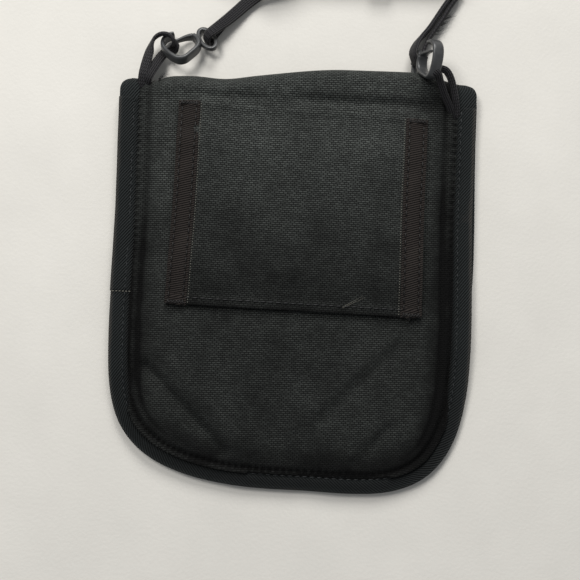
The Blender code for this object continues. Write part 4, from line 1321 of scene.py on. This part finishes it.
def closure_strip(name, low, high, pile):
    """A closure strip with a rounded outline: a superellipse stretched to 70 by 20 mm, its pile slightly
    uneven."""
    t = np.linspace(0, 1, 15)[:, None]
    turn = np.linspace(0, 2 * math.pi, 96, endpoint=False)[None]
    c, s = np.cos(turn), np.sin(turn)
    x = 35 * np.sign(c) * abs(c) ** 0.2 * np.ones_like(t)
    y = 10 * np.sign(s) * abs(s) ** 0.35 * np.ones_like(t)
    shrink = np.sin(math.pi * (0.04 + 0.92 * t)) ** 0.25
    z = (low + high) / 2 - (high - low) / 2 * np.cos(math.pi * t) * np.ones_like(x)
    points = np.stack([x * (0.2 + 0.8 * shrink), y * (0.2 + 0.8 * shrink), z], axis=2)
    faces = [tuple(f) for f in grid_faces(15, 96, True)] + [tuple(range(96)), tuple(range(14 * 96, 15 * 96))]
    return build(name, points, faces, finish(pile), closed=True)


class POUCH_OT_front(bpy.types.Operator):
    """Front cloth above and below the zip, the loop half of the closure and the pocket divider"""

    bl_idname = "pouch.front"
    bl_label = "Front and inside"

    def execute(self, context):
        thick = context.scene.pouch_sizes.canvas_thickness * 1000
        gap = 9.2
        zip_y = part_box("zip_slider")[0][1] * 500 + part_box("zip_slider")[1][1] * 500
        full = rim_path(6.8, 79.0)
        x_side = np.linspace(0, 1, 90)
        rows_up = np.linspace(zip_y + gap, 74.0, 90)
        rows_low = np.linspace(full[:, 1].min() + 0.4, zip_y - gap, 34)
        for name, rows, node in (("front_cloth_upper", rows_up, "front_panel_upper"),
            ("front_cloth_lower", rows_low, "front_panel_lower")):
            left, right = self.sides(full, rows)
            x = left[:, None] + (right - left)[:, None] * x_side[None]
            y = np.repeat(rows[:, None], 90, axis=1)
            z = front_height(y) + 0.06 * np.sin(x / 9) * np.sin(y / 13)
            piece = flat_sheet(name, np.stack([x, y, z], axis=2), np.stack([x, y], axis=2), finish("canvas"),
                thick)
            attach(piece, "pouch")
            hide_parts(node)
        rows = np.linspace(full[:, 1].min() + 0.6, 70.0, 110)
        left, right = self.sides(full, rows)
        x = left[:, None] + (right - left)[:, None] * x_side[None]
        y = np.repeat(rows[:, None], 90, axis=1)
        d = np.maximum(seam_distance(x, y), 0)
        z = front_height(y) + 0.5 + 0.75 * smoothstep((d - 3) / 20) + 0.05 * np.sin(x / 8 + y / 5)
        inside = flat_sheet("pocket_lining", np.stack([x, y, z], axis=2), np.stack([x, y], axis=2),
            finish("lining"), 0.35)
        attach(inside, "pouch")
        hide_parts("pocket_divider")
        strip = closure_strip("loop_strip", 3.35, 4.75, "loops pile")
        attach(strip, "pouch")
        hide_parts("front_loop_strip")
        return {"FINISHED"}

    def sides(self, path, rows):
        """The outline's x on its left and right at each y."""
        lowest = np.argmin(path[:, 1])
        left, right = path[: lowest + 1][::-1], path[lowest:]
        return np.interp(rows, left[:, 1], left[:, 0]), np.interp(rows, right[:, 1], right[:, 0])


class POUCH_OT_zip(bpy.types.Operator):
    """Front pocket zip: tapes, coil teeth, end stops, slider and pull"""

    bl_idname = "pouch.zip"
    bl_label = "Zip"

    def execute(self, context):
        for node in ("upper", "lower"):
            low, high = (np.array(corner) * 1000 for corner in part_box(f"zip_tape_{node}"))
            x, y = np.meshgrid(np.linspace(low[0], high[0], 120), np.linspace(low[1], high[1], 10),
                indexing="ij")
            z = (low[2] + high[2]) / 2 + 0.05 * np.sin(x / 6)
            tape = flat_sheet(f"zip_side_{node}", np.stack([x, y, z], axis=2), np.stack([y, x], axis=2),
                finish("zip tape"), 0.55)
            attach(tape, "pouch")
            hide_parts(f"zip_tape_{node}")
            self.coil(node)
        for node in ("zip_slider", "zip_pull", "zip_stop_left", "zip_stop_right"):
            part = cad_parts[node]
            for slot in part.material_slots:
                slot.material = finish("zinc")
        return {"FINISHED"}

    def coil(self, node):
        """Coil teeth 1.3 mm apart along the chain, each a bead set across it, on a cord core."""
        low, high = (np.array(corner) * 1000 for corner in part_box(f"zip_chain_{node}"))
        middle = (low + high) / 2
        x = np.arange(low[0] + 0.5, high[0] - 0.4, 1.3) + (0.65 if node == "upper" else 0)
        centres = np.column_stack([x, np.full(len(x), middle[1]), np.full(len(x), middle[2])])
        ways = np.tile(np.array([[0, 1.0, 0], [0, 0, 1.0], [1.0, 0, 0]]), (len(x), 1, 1))
        shape, faces = bead(2.0, 1.5, 0.8)
        teeth = repeat(f"coil_teeth_{node}", shape, faces, centres, ways, finish("coil"))
        core = np.column_stack([np.linspace(low[0], high[0], 60), np.full(60, middle[1]),
            np.full(60, middle[2])])
        rod = sweep(f"coil_core_{node}", core, round_section(1.0, 1.0, 2.0, 10),
            np.tile([0, 1.0, 0], (60, 1)), finish("coil"))
        for piece in (teeth, rod):
            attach(piece, "pouch")
        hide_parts(f"zip_chain_{node}")


STEPS = ("stage", "cords", "hang_loops", "hooks", "back", "binding", "belt_panel", "loose_threads", "flap",
    "front", "zip")


class POUCH_PT_panel(bpy.types.Panel):
    """Lists the pouch's sizes, colours and building steps"""

    bl_idname = "POUCH_PT_panel"
    bl_label = "Neck pouch"
    bl_space_type = "VIEW_3D"
    bl_region_type = "UI"
    bl_category = "Neck pouch"

    def draw(self, context):
        for group in (context.scene.pouch_sizes, context.scene.cord_sizes, context.scene.pouch_colours):
            for name in group.__annotations__:
                self.layout.prop(group, name)
        for step in STEPS:
            self.layout.operator("pouch." + step)


CLASSES = (
    PouchSizes, CordSizes, FinishColours, POUCH_OT_stage, POUCH_OT_cords, POUCH_OT_loose_threads,
        POUCH_OT_hang_loops, POUCH_OT_hooks,
    POUCH_OT_back, POUCH_OT_binding, POUCH_OT_belt_panel, POUCH_OT_flap, POUCH_OT_front, POUCH_OT_zip,
        POUCH_PT_panel,
)


def register():
    for one in CLASSES:
        bpy.utils.register_class(one)
    bpy.types.Scene.pouch_sizes = PointerProperty(type=PouchSizes)
    bpy.types.Scene.cord_sizes = PointerProperty(type=CordSizes)
    bpy.types.Scene.pouch_colours = PointerProperty(type=FinishColours)


def unregister():
    del bpy.types.Scene.pouch_sizes
    del bpy.types.Scene.cord_sizes
    del bpy.types.Scene.pouch_colours
    for one in reversed(CLASSES):
        bpy.utils.unregister_class(one)


def main():
    register()
    for step in STEPS:
        getattr(bpy.ops.pouch, step)()


if __name__ == "__main__":
    main()
